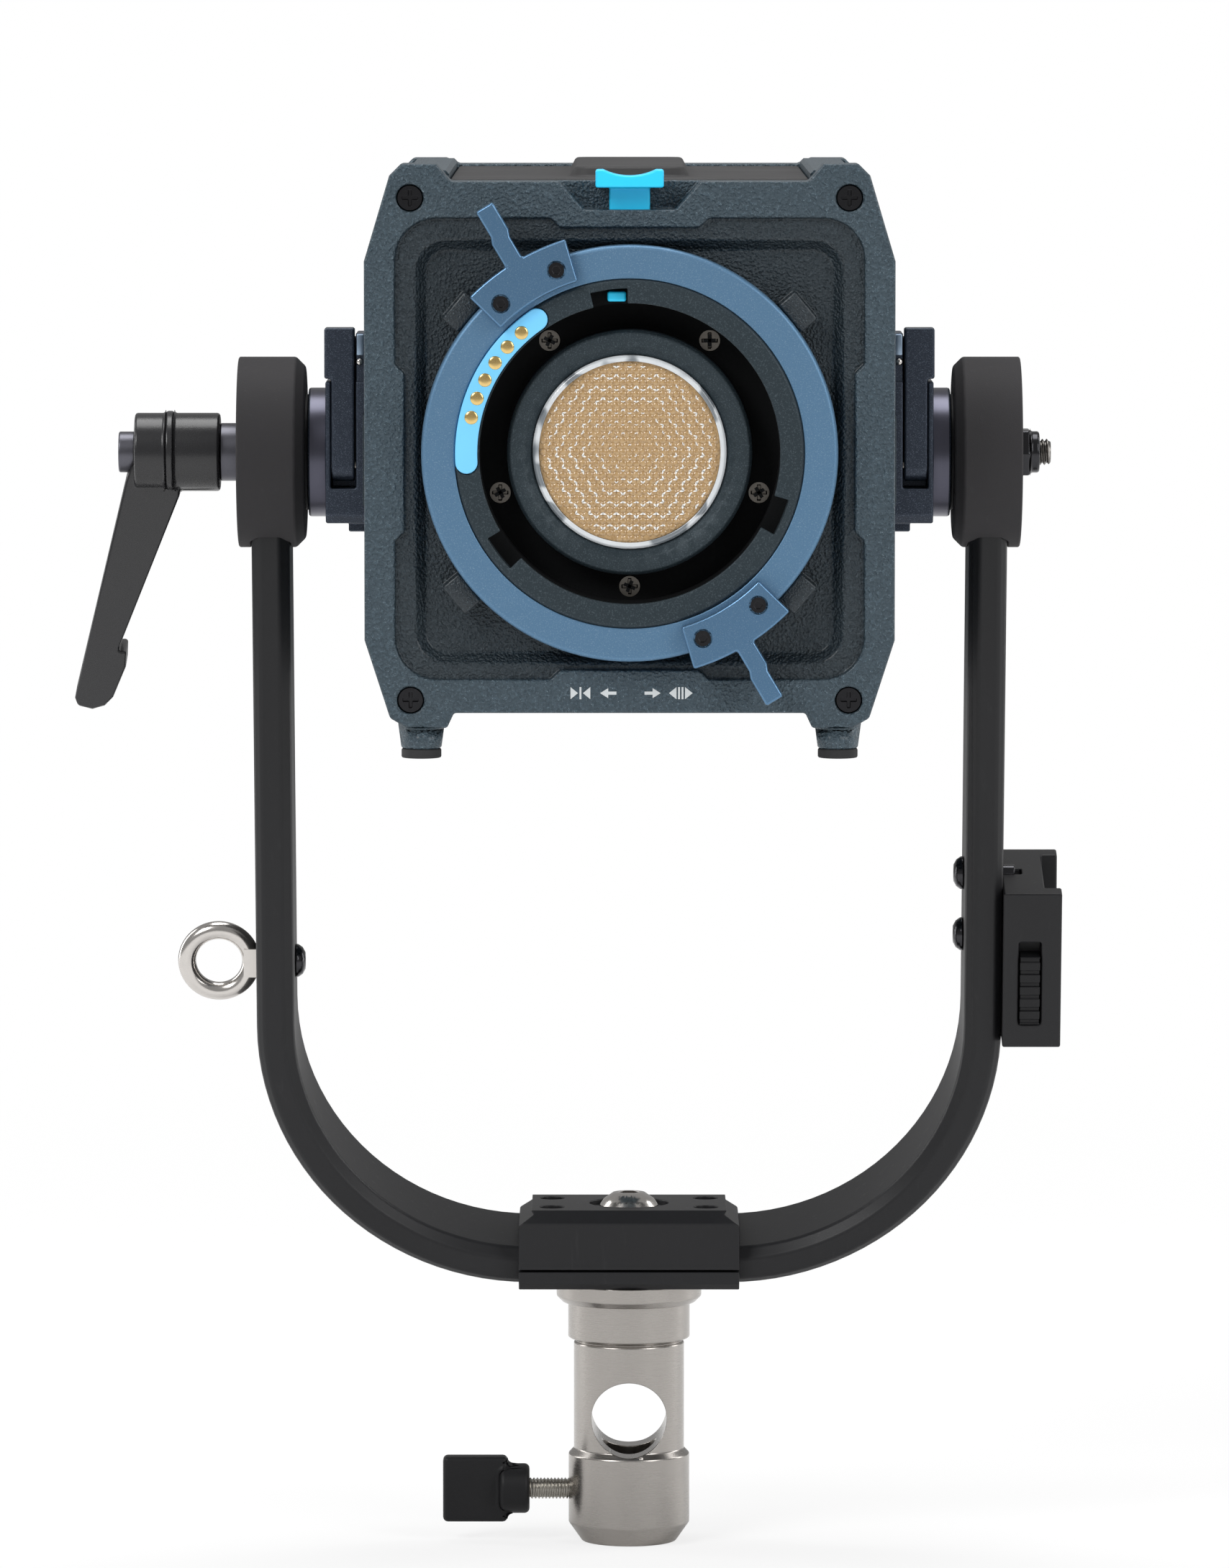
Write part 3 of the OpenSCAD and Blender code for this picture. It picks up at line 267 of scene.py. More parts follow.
@dataclass(frozen=True)
class TexturedPaint(Finish):
    """Metallic paint with a coarse pebbled skin, fine bright flakes, painted highlight and shade by its height and,
    where given, painted shade in a recess.
    """

    base: Colour
    flake: Colour
    grain: float = 1050
    depth: float = 0.0006
    rough: float = 0.4
    recess: Recess | None = None

    def sockets(self, graph: Graph, where: Socket) -> Sockets:
        """Builds what feeds the shader.

        Args:
            graph: the material's node tree.
            where: the object coordinates.

        Returns:
            The shader's sockets.
        """
        pebbles = graph.noise(where, self.grain, 2, 0.5)
        pits = graph.cells(where, self.grain * 1.1)
        skin = (pebbles * 0.8 + pits * 0.35).smooth(0.2, 0.85)
        ridge_highlight = pebbles.smooth(0.5, 0.68)
        sparkle = graph.noise(where, self.grain * 4, 1).smooth(0.6, 0.74)
        cloud = graph.noise(where, 26, 3).smooth(0.3, 0.75)
        # Painted highlight and shade: the skin's crests are lighter and its hollows darker; the cloud is random
        # tone.
        dark = tuple(channel * 0.72 for channel in self.base)
        colour = graph.blend(ridge_highlight * 0.75 + cloud * 0.2, dark, self.base)
        # The paint's bright flakes, shown only on the crests as painted highlight.
        colour = graph.blend(ridge_highlight * sparkle * 0.7, colour, self.flake)
        # Painted shade: deep in the pocket the colour is mixed up to 72 % towards 16 % of the base.
        if self.recess is not None:
            shade = self.recess.mask(graph, where)
            colour = graph.blend(shade * 0.72, colour, tuple(channel * 0.16 for channel in self.base))
        rough = self.rough + pebbles * 0.14 - sparkle * 0.12
        return dict(
            Base_Color=colour, Roughness=rough, Metallic=0.35, Coat_Weight=0.3, Coat_Roughness=0.22,
            Normal=graph.bump(skin, self.depth),
        )


@dataclass(frozen=True)
class Anodised(Finish):
    """Blasted and anodised aluminium with a fine even speckle."""

    base: Colour
    light: Colour
    rough: float = 0.38
    metallic: float = 0.8
    grain: float = 2600

    def sockets(self, graph: Graph, where: Socket) -> Sockets:
        """Builds what feeds the shader.

        Args:
            graph: the material's node tree.
            where: the object coordinates.

        Returns:
            The shader's sockets.
        """
        speckle = graph.noise(where, self.grain, 2, 0.6)
        bright = speckle.smooth(0.5, 0.8)
        cloud = graph.noise(where, 40, 2)
        colour = graph.blend(bright * 0.6, self.base, self.light)
        rough = self.rough + cloud * 0.08 + speckle * 0.06
        return dict(
            Base_Color=colour, Roughness=rough, Metallic=self.metallic,
            Normal=graph.bump(speckle, 0.00003),
        )


@dataclass(frozen=True)
class PowderCoat(Finish):
    """Fine matt coating with soft scuffs."""

    base: Colour
    rough: float = 0.5
    grain: float = 3000
    depth: float = 0.00002
    scuff: float = 0.25
    specular: float = 0.5

    def sockets(self, graph: Graph, where: Socket) -> Sockets:
        """Builds what feeds the shader.

        Args:
            graph: the material's node tree.
            where: the object coordinates.

        Returns:
            The shader's sockets.
        """
        grain = graph.noise(where, self.grain, 2, 0.6)
        scuffs = graph.noise(graph.place((1, 1, 0.12)), 420, 4, 0.7).smooth(0.58, 0.8)
        cloud = graph.noise(where, 18, 2)
        light = tuple(channel * 1.5 + 0.012 for channel in self.base)
        colour = graph.blend(cloud * 0.35 + scuffs * self.scuff, self.base, light)
        rough = self.rough + cloud * 0.1 - scuffs * 0.12 + grain * 0.05
        return dict(
            Base_Color=colour, Roughness=rough, Specular_IOR_Level=self.specular,
            Normal=graph.bump(grain, self.depth),
        )


class Lay(Enum):
    """Which way the tool marks run."""

    ROUND_Z = "turned about the upright axis"
    ROUND_X = "turned about the cross axis"
    POLISHED = "polished all ways"


@dataclass(frozen=True)
class Steel(Finish):
    """Bare steel with its turning or polishing marks."""

    base: Colour = (0.62, 0.6, 0.57)
    rough: float = 0.24
    lay: Lay = Lay.POLISHED
    marks: float = 9000

    def sockets(self, graph: Graph, where: Socket) -> Sockets:
        """Builds what feeds the shader.

        Args:
            graph: the material's node tree.
            where: the object coordinates.

        Returns:
            The shader's sockets.
        """
        stretch = {Lay.ROUND_Z: (0.012, 0.012, 1), Lay.ROUND_X: (1, 0.012, 0.012), Lay.POLISHED: (0.4, 0.4, 0.4)}
        marks = graph.noise(graph.place(stretch[self.lay]), self.marks, 2, 0.7)
        smear = graph.noise(where, 60, 3)
        dark = tuple(channel * 0.8 for channel in self.base)
        colour = graph.blend(marks * 0.6 + smear * 0.3, dark, self.base)
        rough = self.rough + smear * 0.08 + marks * 0.06
        return dict(
            Base_Color=colour, Roughness=rough, Metallic=1.0, Normal=graph.bump(marks, 0.000008),
        )


@dataclass(frozen=True)
class Moulded(Finish):
    """Moulded plastic or rubber with a light spark-eroded texture."""

    base: Colour
    rough: float = 0.55
    grain: float = 1900
    depth: float = 0.00003
    gloss: float = 0.0
    specular: float = 0.5

    def sockets(self, graph: Graph, where: Socket) -> Sockets:
        """Builds what feeds the shader.

        Args:
            graph: the material's node tree.
            where: the object coordinates.

        Returns:
            The shader's sockets.
        """
        grain = graph.noise(where, self.grain, 3, 0.6)
        handling = graph.noise(where, 30, 3).smooth(0.35, 0.75)
        pale = tuple(channel * 1.12 + 0.006 for channel in self.base)
        colour = graph.blend(handling * 0.6 + grain * 0.2, self.base, pale)
        rough = self.rough + grain * 0.08 - handling * 0.07
        return dict(
            Base_Color=colour, Roughness=rough, Coat_Weight=self.gloss, Coat_Roughness=0.12,
            Specular_IOR_Level=self.specular, Normal=graph.bump(grain, self.depth),
        )


# ---------------------------------------------------------------- special finishes
@dataclass(frozen=True)
class Phosphor(Finish):
    """Amber phosphor over a close grid of light chips."""

    base: Colour = (0.52, 0.31, 0.085)
    gap: Colour = (0.34, 0.19, 0.05)
    chips: float = 520

    def sockets(self, graph: Graph, where: Socket) -> Sockets:
        """Builds what feeds the shader.

        Args:
            graph: the material's node tree.
            where: the object coordinates.

        Returns:
            The shader's sockets.
        """
        wall = graph.cells(graph.place((1, 0, 1)), self.chips, "DISTANCE_TO_EDGE")
        dots = wall.smooth(0.04, 0.16)
        grain = graph.noise(where, 3500, 2)
        colour = graph.blend(dots, self.gap, self.base)
        return dict(
            Base_Color=colour, Roughness=0.55 + grain * 0.15, Normal=graph.bump(dots + grain * 0.1, 0.00008),
        )


@dataclass(frozen=True)
class Screen(Finish):
    """Dark display glass over a fine grid of dots."""

    base: Colour = (0.008, 0.01, 0.012)
    lit: Colour = (0.03, 0.04, 0.045)
    pitch: float = 0.00032

    def sockets(self, graph: Graph, where: Socket) -> Sockets:
        """Builds what feeds the shader.

        Args:
            graph: the material's node tree.
            where: the object coordinates.

        Returns:
            The shader's sockets.
        """
        across, _, up = graph.axes(where)
        turn = 2 * math.pi / self.pitch
        grid = ((across * turn).sine() + (up * turn).sine()).smooth(0.6, 1.6)
        haze = graph.noise(where, 45, 3)
        colour = graph.blend(grid * 0.7 + haze * 0.2, self.base, self.lit)
        return dict(
            Base_Color=colour, Roughness=0.09 + haze * 0.05, Coat_Weight=1.0, Coat_Roughness=0.03,
        )


@dataclass(frozen=True)
class Board(Finish):
    """Green circuit board with a copper pattern under its lacquer."""

    base: Colour = (0.01, 0.08, 0.035)
    track: Colour = (0.03, 0.17, 0.07)

    def sockets(self, graph: Graph, where: Socket) -> Sockets:
        """Builds what feeds the shader.

        Args:
            graph: the material's node tree.
            where: the object coordinates.

        Returns:
            The shader's sockets.
        """
        tracks = graph.cells(graph.place((1, 1, 0.2)), 260, "DISTANCE_TO_EDGE").smooth(0.05, 0.09)
        weave = graph.noise(where, 1500, 2)
        colour = graph.blend(tracks, self.track, self.base)
        return dict(
            Base_Color=colour, Roughness=0.3 + weave * 0.15, Coat_Weight=0.5, Coat_Roughness=0.15,
            Normal=graph.bump(tracks + weave * 0.2, 0.00004),
        )


@dataclass(frozen=True)
class Ink(Finish):
    """Thick screen-printed ink."""

    base: Colour = (0.62, 0.65, 0.66)

    def sockets(self, graph: Graph, where: Socket) -> Sockets:
        """Builds what feeds the shader.

        Args:
            graph: the material's node tree.
            where: the object coordinates.

        Returns:
            The shader's sockets.
        """
        grain = graph.noise(where, 4000, 2)
        worn = tuple(channel * 0.85 for channel in self.base)
        colour = graph.blend(grain, worn, self.base)
        return dict(Base_Color=colour, Roughness=0.5 + grain * 0.1, Normal=graph.bump(grain, 0.00001))


@dataclass(frozen=True)
class AmberLens(Finish):
    """Opaque amber that stands for clear domed cells with the emitter behind them."""

    base: Colour = (0.5, 0.33, 0.155)
    deep: Colour = (0.36, 0.22, 0.09)

    def sockets(self, graph: Graph, where: Socket) -> Sockets:
        """Builds what feeds the shader.

        Args:
            graph: the material's node tree.
            where: the object coordinates.

        Returns:
            The shader's sockets.
        """
        chips = graph.cells(graph.place((1, 0.2, 1)), 1400)
        cloud = graph.noise(where, 130, 2)
        colour = graph.blend(chips.smooth(0.2, 0.7) * 0.7 + cloud * 0.2, self.deep, self.base)
        return dict(
            Base_Color=colour, Roughness=0.16 + cloud * 0.08, Coat_Weight=1.0, Coat_Roughness=0.05,
            Normal=graph.bump(chips, 0.00003),
        )


@dataclass(frozen=True)
class RimGlass(Finish):
    """Opaque paint that stands for a clear rim, with painted reflections in bright and dark stretches."""

    bright: Colour = (0.8, 0.83, 0.85)
    dark: Colour = (0.06, 0.075, 0.09)

    def sockets(self, graph: Graph, where: Socket) -> Sockets:
        """Builds what feeds the shader.

        Args:
            graph: the material's node tree.
            where: the object coordinates.

        Returns:
            The shader's sockets.
        """
        # Painted reflection: bright and dark stretches, with grey streaks over them; the streaks also set roughness
        # and bumps.
        reflection_patches = graph.noise(where, 105, 1).smooth(0.53, 0.6)
        streaks = graph.noise(graph.place((0.25, 3, 0.25)), 900, 2)
        colour = graph.blend(reflection_patches * 0.85, self.bright, self.dark)
        colour = graph.blend(streaks * 0.35, colour, (0.32, 0.37, 0.41))
        return dict(
            Base_Color=colour, Roughness=0.07 + streaks * 0.1, Coat_Weight=1.0, Coat_Roughness=0.03,
            Normal=graph.bump(streaks, 0.00003),
        )


FINISHES = {finish.name: finish for finish in (
    TexturedPaint("housing_paint", (0.05, 0.082, 0.106), (0.36, 0.45, 0.5)),
    Anodised("ring_blue", (0.1, 0.205, 0.33), (0.26, 0.38, 0.5), 0.4, 0.6),
    Anodised("dark_anodised", (0.018, 0.03, 0.038), (0.1, 0.13, 0.15), 0.44, 0.4),
    Anodised("bracket_metal", (0.026, 0.035, 0.053), (0.2, 0.24, 0.31), 0.3, 0.5, 3400),
    PowderCoat("black_metal", (0.0085, 0.0085, 0.0098), 0.36, specular=0.3),
    PowderCoat("hub_grey", (0.03, 0.0285, 0.0305), 0.6, 2600, 0.00003, 0.12, 0.22),
    Steel("steel", (0.43, 0.405, 0.38), 0.2, Lay.ROUND_Z),
    Steel("polished_steel", (0.66, 0.63, 0.6), 0.13, Lay.POLISHED, 900),
    Steel("black_steel", (0.035, 0.035, 0.04), 0.28, Lay.POLISHED, 5000),
    Moulded("black_plastic", (0.0065, 0.0065, 0.0075), 0.45, specular=0.25),
    Moulded("grey_plastic", (0.036, 0.037, 0.041), 0.6),
    Moulded("sky_plastic", (0.17, 0.58, 0.93), 0.38, 2200, 0.00001, 0.2),
    Moulded("latch_blue", (0.015, 0.62, 0.98), 0.4, 2200, 0.00001, 0.2),
    Steel("gold", (0.86, 0.62, 0.25), 0.16, Lay.POLISHED, 4000),
    Phosphor("phosphor"),
    Steel("copper", (0.72, 0.36, 0.22), 0.3, Lay.POLISHED, 3000),
    Anodised("raw_aluminium", (0.5, 0.51, 0.52), (0.68, 0.69, 0.7), 0.36, 0.95, 1500),
    Board("board_green"),
    Screen("screen"),
    Moulded("rubber", (0.014, 0.014, 0.015), 0.78, 1400, 0.00005),
    Ink("ink"),
    Steel("cross_turned", (0.52, 0.5, 0.46), 0.2, Lay.ROUND_X),
    Steel("boss_metal", (0.1, 0.1, 0.13), 0.24, Lay.ROUND_X, 5000),
    PowderCoat("satin_black", (0.008, 0.009, 0.0105), 0.5, 2600, 0.00004, 0.15, 0.25),
    Steel("black_chrome", (0.05, 0.05, 0.054), 0.12, Lay.POLISHED, 1500),
    Steel("thread_steel", (0.16, 0.15, 0.14), 0.22, Lay.ROUND_X, 4000),
    Steel("stud_steel", (0.13, 0.13, 0.15), 0.3, Lay.POLISHED, 4000),
    PowderCoat("lever_black", (0.01, 0.01, 0.0115), 0.2, 2200, 0.00002, 0.2, 0.55),
    Steel("tab_steel", (0.33, 0.43, 0.55), 0.25, Lay.POLISHED, 3000),
    Steel("screw_steel", (0.2, 0.185, 0.165), 0.3, Lay.POLISHED, 5000),
    AmberLens("amber_lens"),
    RimGlass("rim_glass"),
    TexturedPaint("front_paint", (0.05, 0.082, 0.106), (0.36, 0.45, 0.5), recess=Recess()),
    TexturedPaint("stop_black", (0.02, 0.03, 0.038), (0.2, 0.26, 0.3), 1600, 0.0002, 0.34),
    PowderCoat("flock_black", (0.0035, 0.004, 0.0045), 0.7, 2600, 0.00005, 0.1, 0.1),
    Anodised("lever_blue", (0.1, 0.205, 0.34), (0.26, 0.38, 0.5), 0.24, 0.75),
    Moulded("cover_black", (0.02, 0.0195, 0.0205), 0.62),
    # Painted highlight: the lens's white flecks, drawn with the ink shader.
    Ink("glint", (0.97, 0.95, 0.9)),
)}


class Palette:
    """Every material of the object, made once and handed out by name."""

    def __init__(self) -> None:
        """Starts with no material made."""
        self.made: dict[str, bpy.types.Material] = {}

    def __getitem__(self, name: str) -> bpy.types.Material:
        """The material of that name."""
        if name not in self.made:
            self.made[name] = FINISHES[name].material()
        return self.made[name]


# ---------------------------------------------------------------- the bench
@dataclass(frozen=True)
class Edge:
    """How the edges of a piece are broken: width in millimetres, faces across, and least angle in degrees."""

    width: float = 0.3
    segments: int = 2
    angle: float = 32


SHARP = Edge(0.12, 2)
CRISP = Edge(0.22, 2)
SOFT = Edge(0.45, 3)
ROUND = Edge(0.9, 4)


@dataclass(frozen=True)
class Part:
    """A construction node that keeps its shape, and how it is finished.

    Its finish is named where it isn't the slot's own. Joined is for plates with many holes, whose flat facets are
    only joined in pairs.
    """

    node: str
    edge: Edge | None = SOFT
    finish: str | None = None
    joined: bool = False


class Bench:
    """Finishes meshes as pieces, dressed, named and riding on their bodies."""

    def __init__(self, nodes: dict, bodies: dict, slots: dict[str, str], palette: Palette) -> None:
        """Keeps what every sub-assembly needs.

        Args:
            nodes: the construction model's objects by name.
            bodies: the construction nodes of each body.
            slots: the material slot of each construction node.
            palette: the materials.
        """
        self.nodes = nodes
        self.body_of = {node: body for body, members in bodies.items() for node in members}
        self.slot_of = slots
        self.palette = palette
        self.count = 0

    def solid_of(self, name: str, joined: bool = False) -> bmesh.types.BMesh:
        """Copies a construction node into a clean mesh of flat faces.

        Args:
            name: the node.
            joined: whether its flat facets are only joined in pairs, for plates with many holes.

        Returns:
            The copy, with its doubled corners merged and its flat facets joined.
        """
        shape = bmesh.new()
        shape.from_mesh(self.nodes[name].data)
        bmesh.ops.remove_doubles(shape, verts=shape.verts, dist=2e-6)
        if joined:
            bmesh.ops.join_triangles(
                shape, faces=shape.faces, angle_face_threshold=math.radians(0.6),
                angle_shape_threshold=math.radians(180),
            )
        else:
            bmesh.ops.dissolve_limit(
                shape, angle_limit=math.radians(0.6), verts=shape.verts, edges=shape.edges, delimit={"NORMAL"},
            )
        return shape

    def piece(
        self, name: str, shape: bmesh.types.BMesh, body: str, slot: str,
        stands_for: tuple[str, ...] = (), edge: Edge | None = None, finish: str | None = None,
        place: Matrix | None = None,
    ) -> bpy.types.Object:
        """Turns a mesh into a finished piece.

        Args:
            name: the piece's name.
            shape: its mesh, which is used up.
            body: the body that it rides on.
            slot: the record's material slot.
            stands_for: the construction nodes that it replaces.
            edge: how its edges are broken.
            finish: its material, where that isn't the slot's own.
            place: the frame that the mesh is drawn in, where that isn't the world's.

        Returns:
            The piece.
        """
        if place is not None:
            bmesh.ops.transform(shape, matrix=place, verts=shape.verts)
            if place.determinant() < 0:
                bmesh.ops.reverse_faces(shape, faces=shape.faces)
        mesh = bpy.data.meshes.new(name)
        for face in shape.faces:
            face.smooth = True
        shape.to_mesh(mesh)
        shape.free()
        if "custom_normal" in mesh.attributes:
            mesh.attributes.remove(mesh.attributes["custom_normal"])
        mesh.materials.clear()
        mesh.materials.append(self.palette[finish or slot])
        for polygon in mesh.polygons:
            polygon.material_index = 0
        piece = bpy.data.objects.new(name, mesh)
        bpy.context.scene.collection.objects.link(piece)
        if edge is None:
            mesh.set_sharp_from_angle(angle=math.radians(34))
        else:
            self.break_edges(piece, edge)
        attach(piece, body)
        if stands_for:
            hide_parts(*stands_for)
        self.count += 1
        LOG.info("%s on %s", name, body)
        return piece

    @staticmethod
    def break_edges(piece: bpy.types.Object, edge: Edge) -> None:
        """Rounds every edge sharper than the limit.

        Args:
            piece: the piece.
            edge: how its edges are broken.
        """
        bevel = piece.modifiers.new("edges", "BEVEL")
        bevel.limit_method = "ANGLE"
        bevel.angle_limit = math.radians(edge.angle)
        bevel.width = edge.width * MM
        bevel.segments = edge.segments
        bevel.profile = 0.5
        bevel.use_clamp_overlap = False
        bevel.miter_outer = "MITER_ARC"
        bevel.loop_slide = False
        bevel.harden_normals = True

    def refine(self, part: Part) -> None:
        """Replaces a construction node by its own shape with broken edges and smooth curves."""
        shape, body, slot = self.solid_of(part.node, part.joined), self.body_of[part.node], self.slot_of[part.node]
        self.piece(f"{part.node}_piece", shape, body, slot, (part.node,), part.edge, part.finish)


@dataclass(frozen=True)
class Assembly:
    """A sub-assembly: the parts that keep their shape, and what a subclass adds to them."""

    parts: tuple[Part, ...] = ()

    def build(self, bench: Bench) -> None:
        """Refines the parts and adds the rest."""
        for part in self.parts:
            bench.refine(part)
        self.add(bench)

    def add(self, bench: Bench) -> None:
        """Adds the pieces that have a shape of their own. Here there are none."""


# ---------------------------------------------------------------- shared shapes
def polar(radius: float, angle: float) -> Point:
    """The point at a distance and an angle in radians."""
    return radius * math.cos(angle), radius * math.sin(angle)


def bevelled_box(low: Vector, high: Vector, radius: float, segments: int = 3) -> bmesh.types.BMesh:
    """A box with rounded edges.

    Args:
        low: its lowest corner.
        high: its highest corner.
        radius: the radius of its edges.
        segments: the faces across each edge.

    Returns:
        The box's mesh.
    """
    shape = bmesh.new()
    size = high - low
    place = Matrix.Translation((low + high) / 2) @ Matrix.Diagonal((*size, 1))
    bmesh.ops.create_cube(shape, size=1, matrix=place)
    bmesh.ops.bevel(
        shape, geom=shape.edges[:], offset=radius, affect="EDGES", segments=segments, profile=0.5, material=-1,
    )
    return shape


def join(target: bmesh.types.BMesh, part: bmesh.types.BMesh, move: Matrix | None = None) -> None:
    """Adds one mesh to another and frees it.

    Args:
        target: the mesh that grows.
        part: the mesh that is added.
        move: where the added mesh goes.
    """
    if move is not None:
        bmesh.ops.transform(part, matrix=move, verts=part.verts)
    loose = bpy.data.meshes.new("part")
    part.to_mesh(loose)
    part.free()
    target.from_mesh(loose)
    bpy.data.meshes.remove(loose)


def turned(profile: list[Point], steps: int = 96) -> bmesh.types.BMesh:
    """Turns a closed outline of (radius, height) points about the Z axis.

    Args:
        profile: the outline, from the axis and back to it.
        steps: the faces round the axis.

    Returns:
        The turned mesh, closed.
    """
    shape = bmesh.new()
    ring = [shape.verts.new((radius, 0, height)) for radius, height in profile]
    edges = [shape.edges.new(pair) for pair in zip(ring, ring[1:])]
    if profile[0][0] > 0:
        edges.append(shape.edges.new((ring[-1], ring[0])))
    bmesh.ops.spin(
        shape, geom=ring + edges, cent=(0, 0, 0), axis=(0, 0, 1), angle=2 * math.pi, steps=steps, use_merge=True,
    )
    bmesh.ops.remove_doubles(shape, verts=shape.verts, dist=1e-6)
    bmesh.ops.recalc_face_normals(shape, faces=shape.faces)
    return shape


@dataclass(frozen=True)
class Thread:
    """A screw thread along Z, of one ridge wound round a core."""

    crest: float
    depth: float
    pitch: float
    length: float
    steps: int = 28

    def mesh(self) -> bmesh.types.BMesh:
        """Winds the ridge round its core.

        Returns:
            The mesh, from height 0 to the length.
        """
        root = self.crest - self.depth
        tip = self.depth * 0.8
        shape = turned([(0, 0), (root - tip / 2, 0), (root, tip), (root, self.length - tip),
                        (root - tip / 2, self.length), (0, self.length)], self.steps * 2)
        ridge = bmesh.new()
        base = root - self.depth * 0.2
        half = self.pitch * 0.47
        corners = [(base, -half), (self.crest, -half * 0.18), (self.crest, half * 0.18), (base, half)]
        ring = [ridge.verts.new((radius, 0, half + height)) for radius, height in corners]
        start = ridge.faces.new(ring)
        turns = (self.length - 2 * half) / self.pitch
        count = max(8, round(turns * self.steps))
        bmesh.ops.spin(
            ridge, geom=[start], cent=(0, 0, 0), axis=(0, 0, 1), dvec=(0, 0, turns * self.pitch / count),
            angle=turns * 2 * math.pi, steps=count, use_duplicate=False,
        )
        bmesh.ops.remove_doubles(ridge, verts=ridge.verts, dist=1e-7)
        bmesh.ops.recalc_face_normals(ridge, faces=ridge.faces)
        join(shape, ridge)
        return shape


# ---------------------------------------------------------------- layout
@dataclass(frozen=True)
class Layout:
    """Where the main parts stand, in millimetres and degrees."""

    bar_height: float = 88.9
    pivot_rise: float = 248.5
    lean: float = 12.5
    lamp_rise: float = 3.4
    face: float = -71.2
    rear: float = 118.8
    lip_front: float = -78.7

    @property
    def ground(self) -> Matrix:
        """From millimetres to metres, about the receiver's mouth."""
        return Matrix.Scale(MM, 4)

    @property
    def yoke_pivot(self) -> Matrix:
        """The leaning yoke's frame at the tilt axis."""
        foot, rise = (Matrix.Translation((0, 0, height)) for height in (self.bar_height, self.pivot_rise))
        return self.ground @ foot @ Matrix.Rotation(math.radians(self.lean), 4, "X") @ rise

    @property
    def pivot(self) -> Matrix:
        """The head's frame at the tilt axis."""
        lean = math.radians(self.lean)
        rise = self.bar_height + self.pivot_rise * math.cos(lean)
        return self.ground @ Matrix.Translation((0, -self.pivot_rise * math.sin(lean), rise))

    @property
    def lamp(self) -> Matrix:
        """The head's frame at the lamp axis."""
        return self.pivot @ Matrix.Translation((0, 0, self.lamp_rise))


LAYOUT = Layout()
ALONG_X = Matrix.Rotation(math.radians(90), 4, "Y")
ALONG_Y = Matrix.Rotation(math.radians(-90), 4, "X")
SIDES = (("left", Matrix.Diagonal((-1, 1, 1, 1))), ("right", Matrix.Diagonal((1, 1, 1, 1))))


def slab(outline: list[Point], front: float, back: float) -> bmesh.types.BMesh:
    """Stretches a flat outline of (x, z) points from front to back.

    Args:
        outline: the outline's corners in order.
        front: the y of its near face.
        back: the y of its far face.

    Returns:
        The closed mesh.
    """
    shape = bmesh.new()
    face = shape.faces.new([shape.verts.new((x, front, z)) for x, z in outline])
    grown = bmesh.ops.extrude_face_region(shape, geom=[face])
    moved = [item for item in grown["geom"] if isinstance(item, bmesh.types.BMVert)]
    bmesh.ops.translate(shape, vec=(0, back - front, 0), verts=moved)
    bmesh.ops.recalc_face_normals(shape, faces=shape.faces)
    return shape


def ball(centre: Spot, radius: float) -> bmesh.types.BMesh:
    """A round ball.

    Args:
        centre: its middle.
        radius: its radius.

    Returns:
        The ball's mesh.
    """
    shape = bmesh.new()
    bmesh.ops.create_uvsphere(shape, u_segments=24, v_segments=14, radius=radius, matrix=Matrix.Translation(centre))
    return shape


# ---------------------------------------------------------------- sub-assemblies
@dataclass(frozen=True)
class StandReceiver(Assembly):
    """The turned socket under the yoke, with its stand screw and wing knob."""

    parts: tuple[Part, ...] = (Part("stand_receiver", Edge(0.3, 3)), Part("stand_screw_knob", Edge(1.5, 4)))
    screw_height: float = 15.6
    screw_crest: float = 3.2
    thread_depth: float = 0.5
    screw_pitch: float = 1.05
    screw_start: float = -37.0
    screw_end: float = -8.6

    def add(self, bench: Bench) -> None:
        """Cuts the stand screw's thread.

        Args:
            bench: where the pieces are finished.
        """
        length = self.screw_end - self.screw_start
        thread = Thread(self.screw_crest, self.thread_depth, self.screw_pitch, length).mesh()
        place = Matrix.Translation((self.screw_start, 0, self.screw_height)) @ ALONG_X
        bench.piece(
            "stand_screw_piece", thread, "stand_screw", "steel", ("stand_screw",), finish="cross_turned",
            place=LAYOUT.ground @ place,
        )


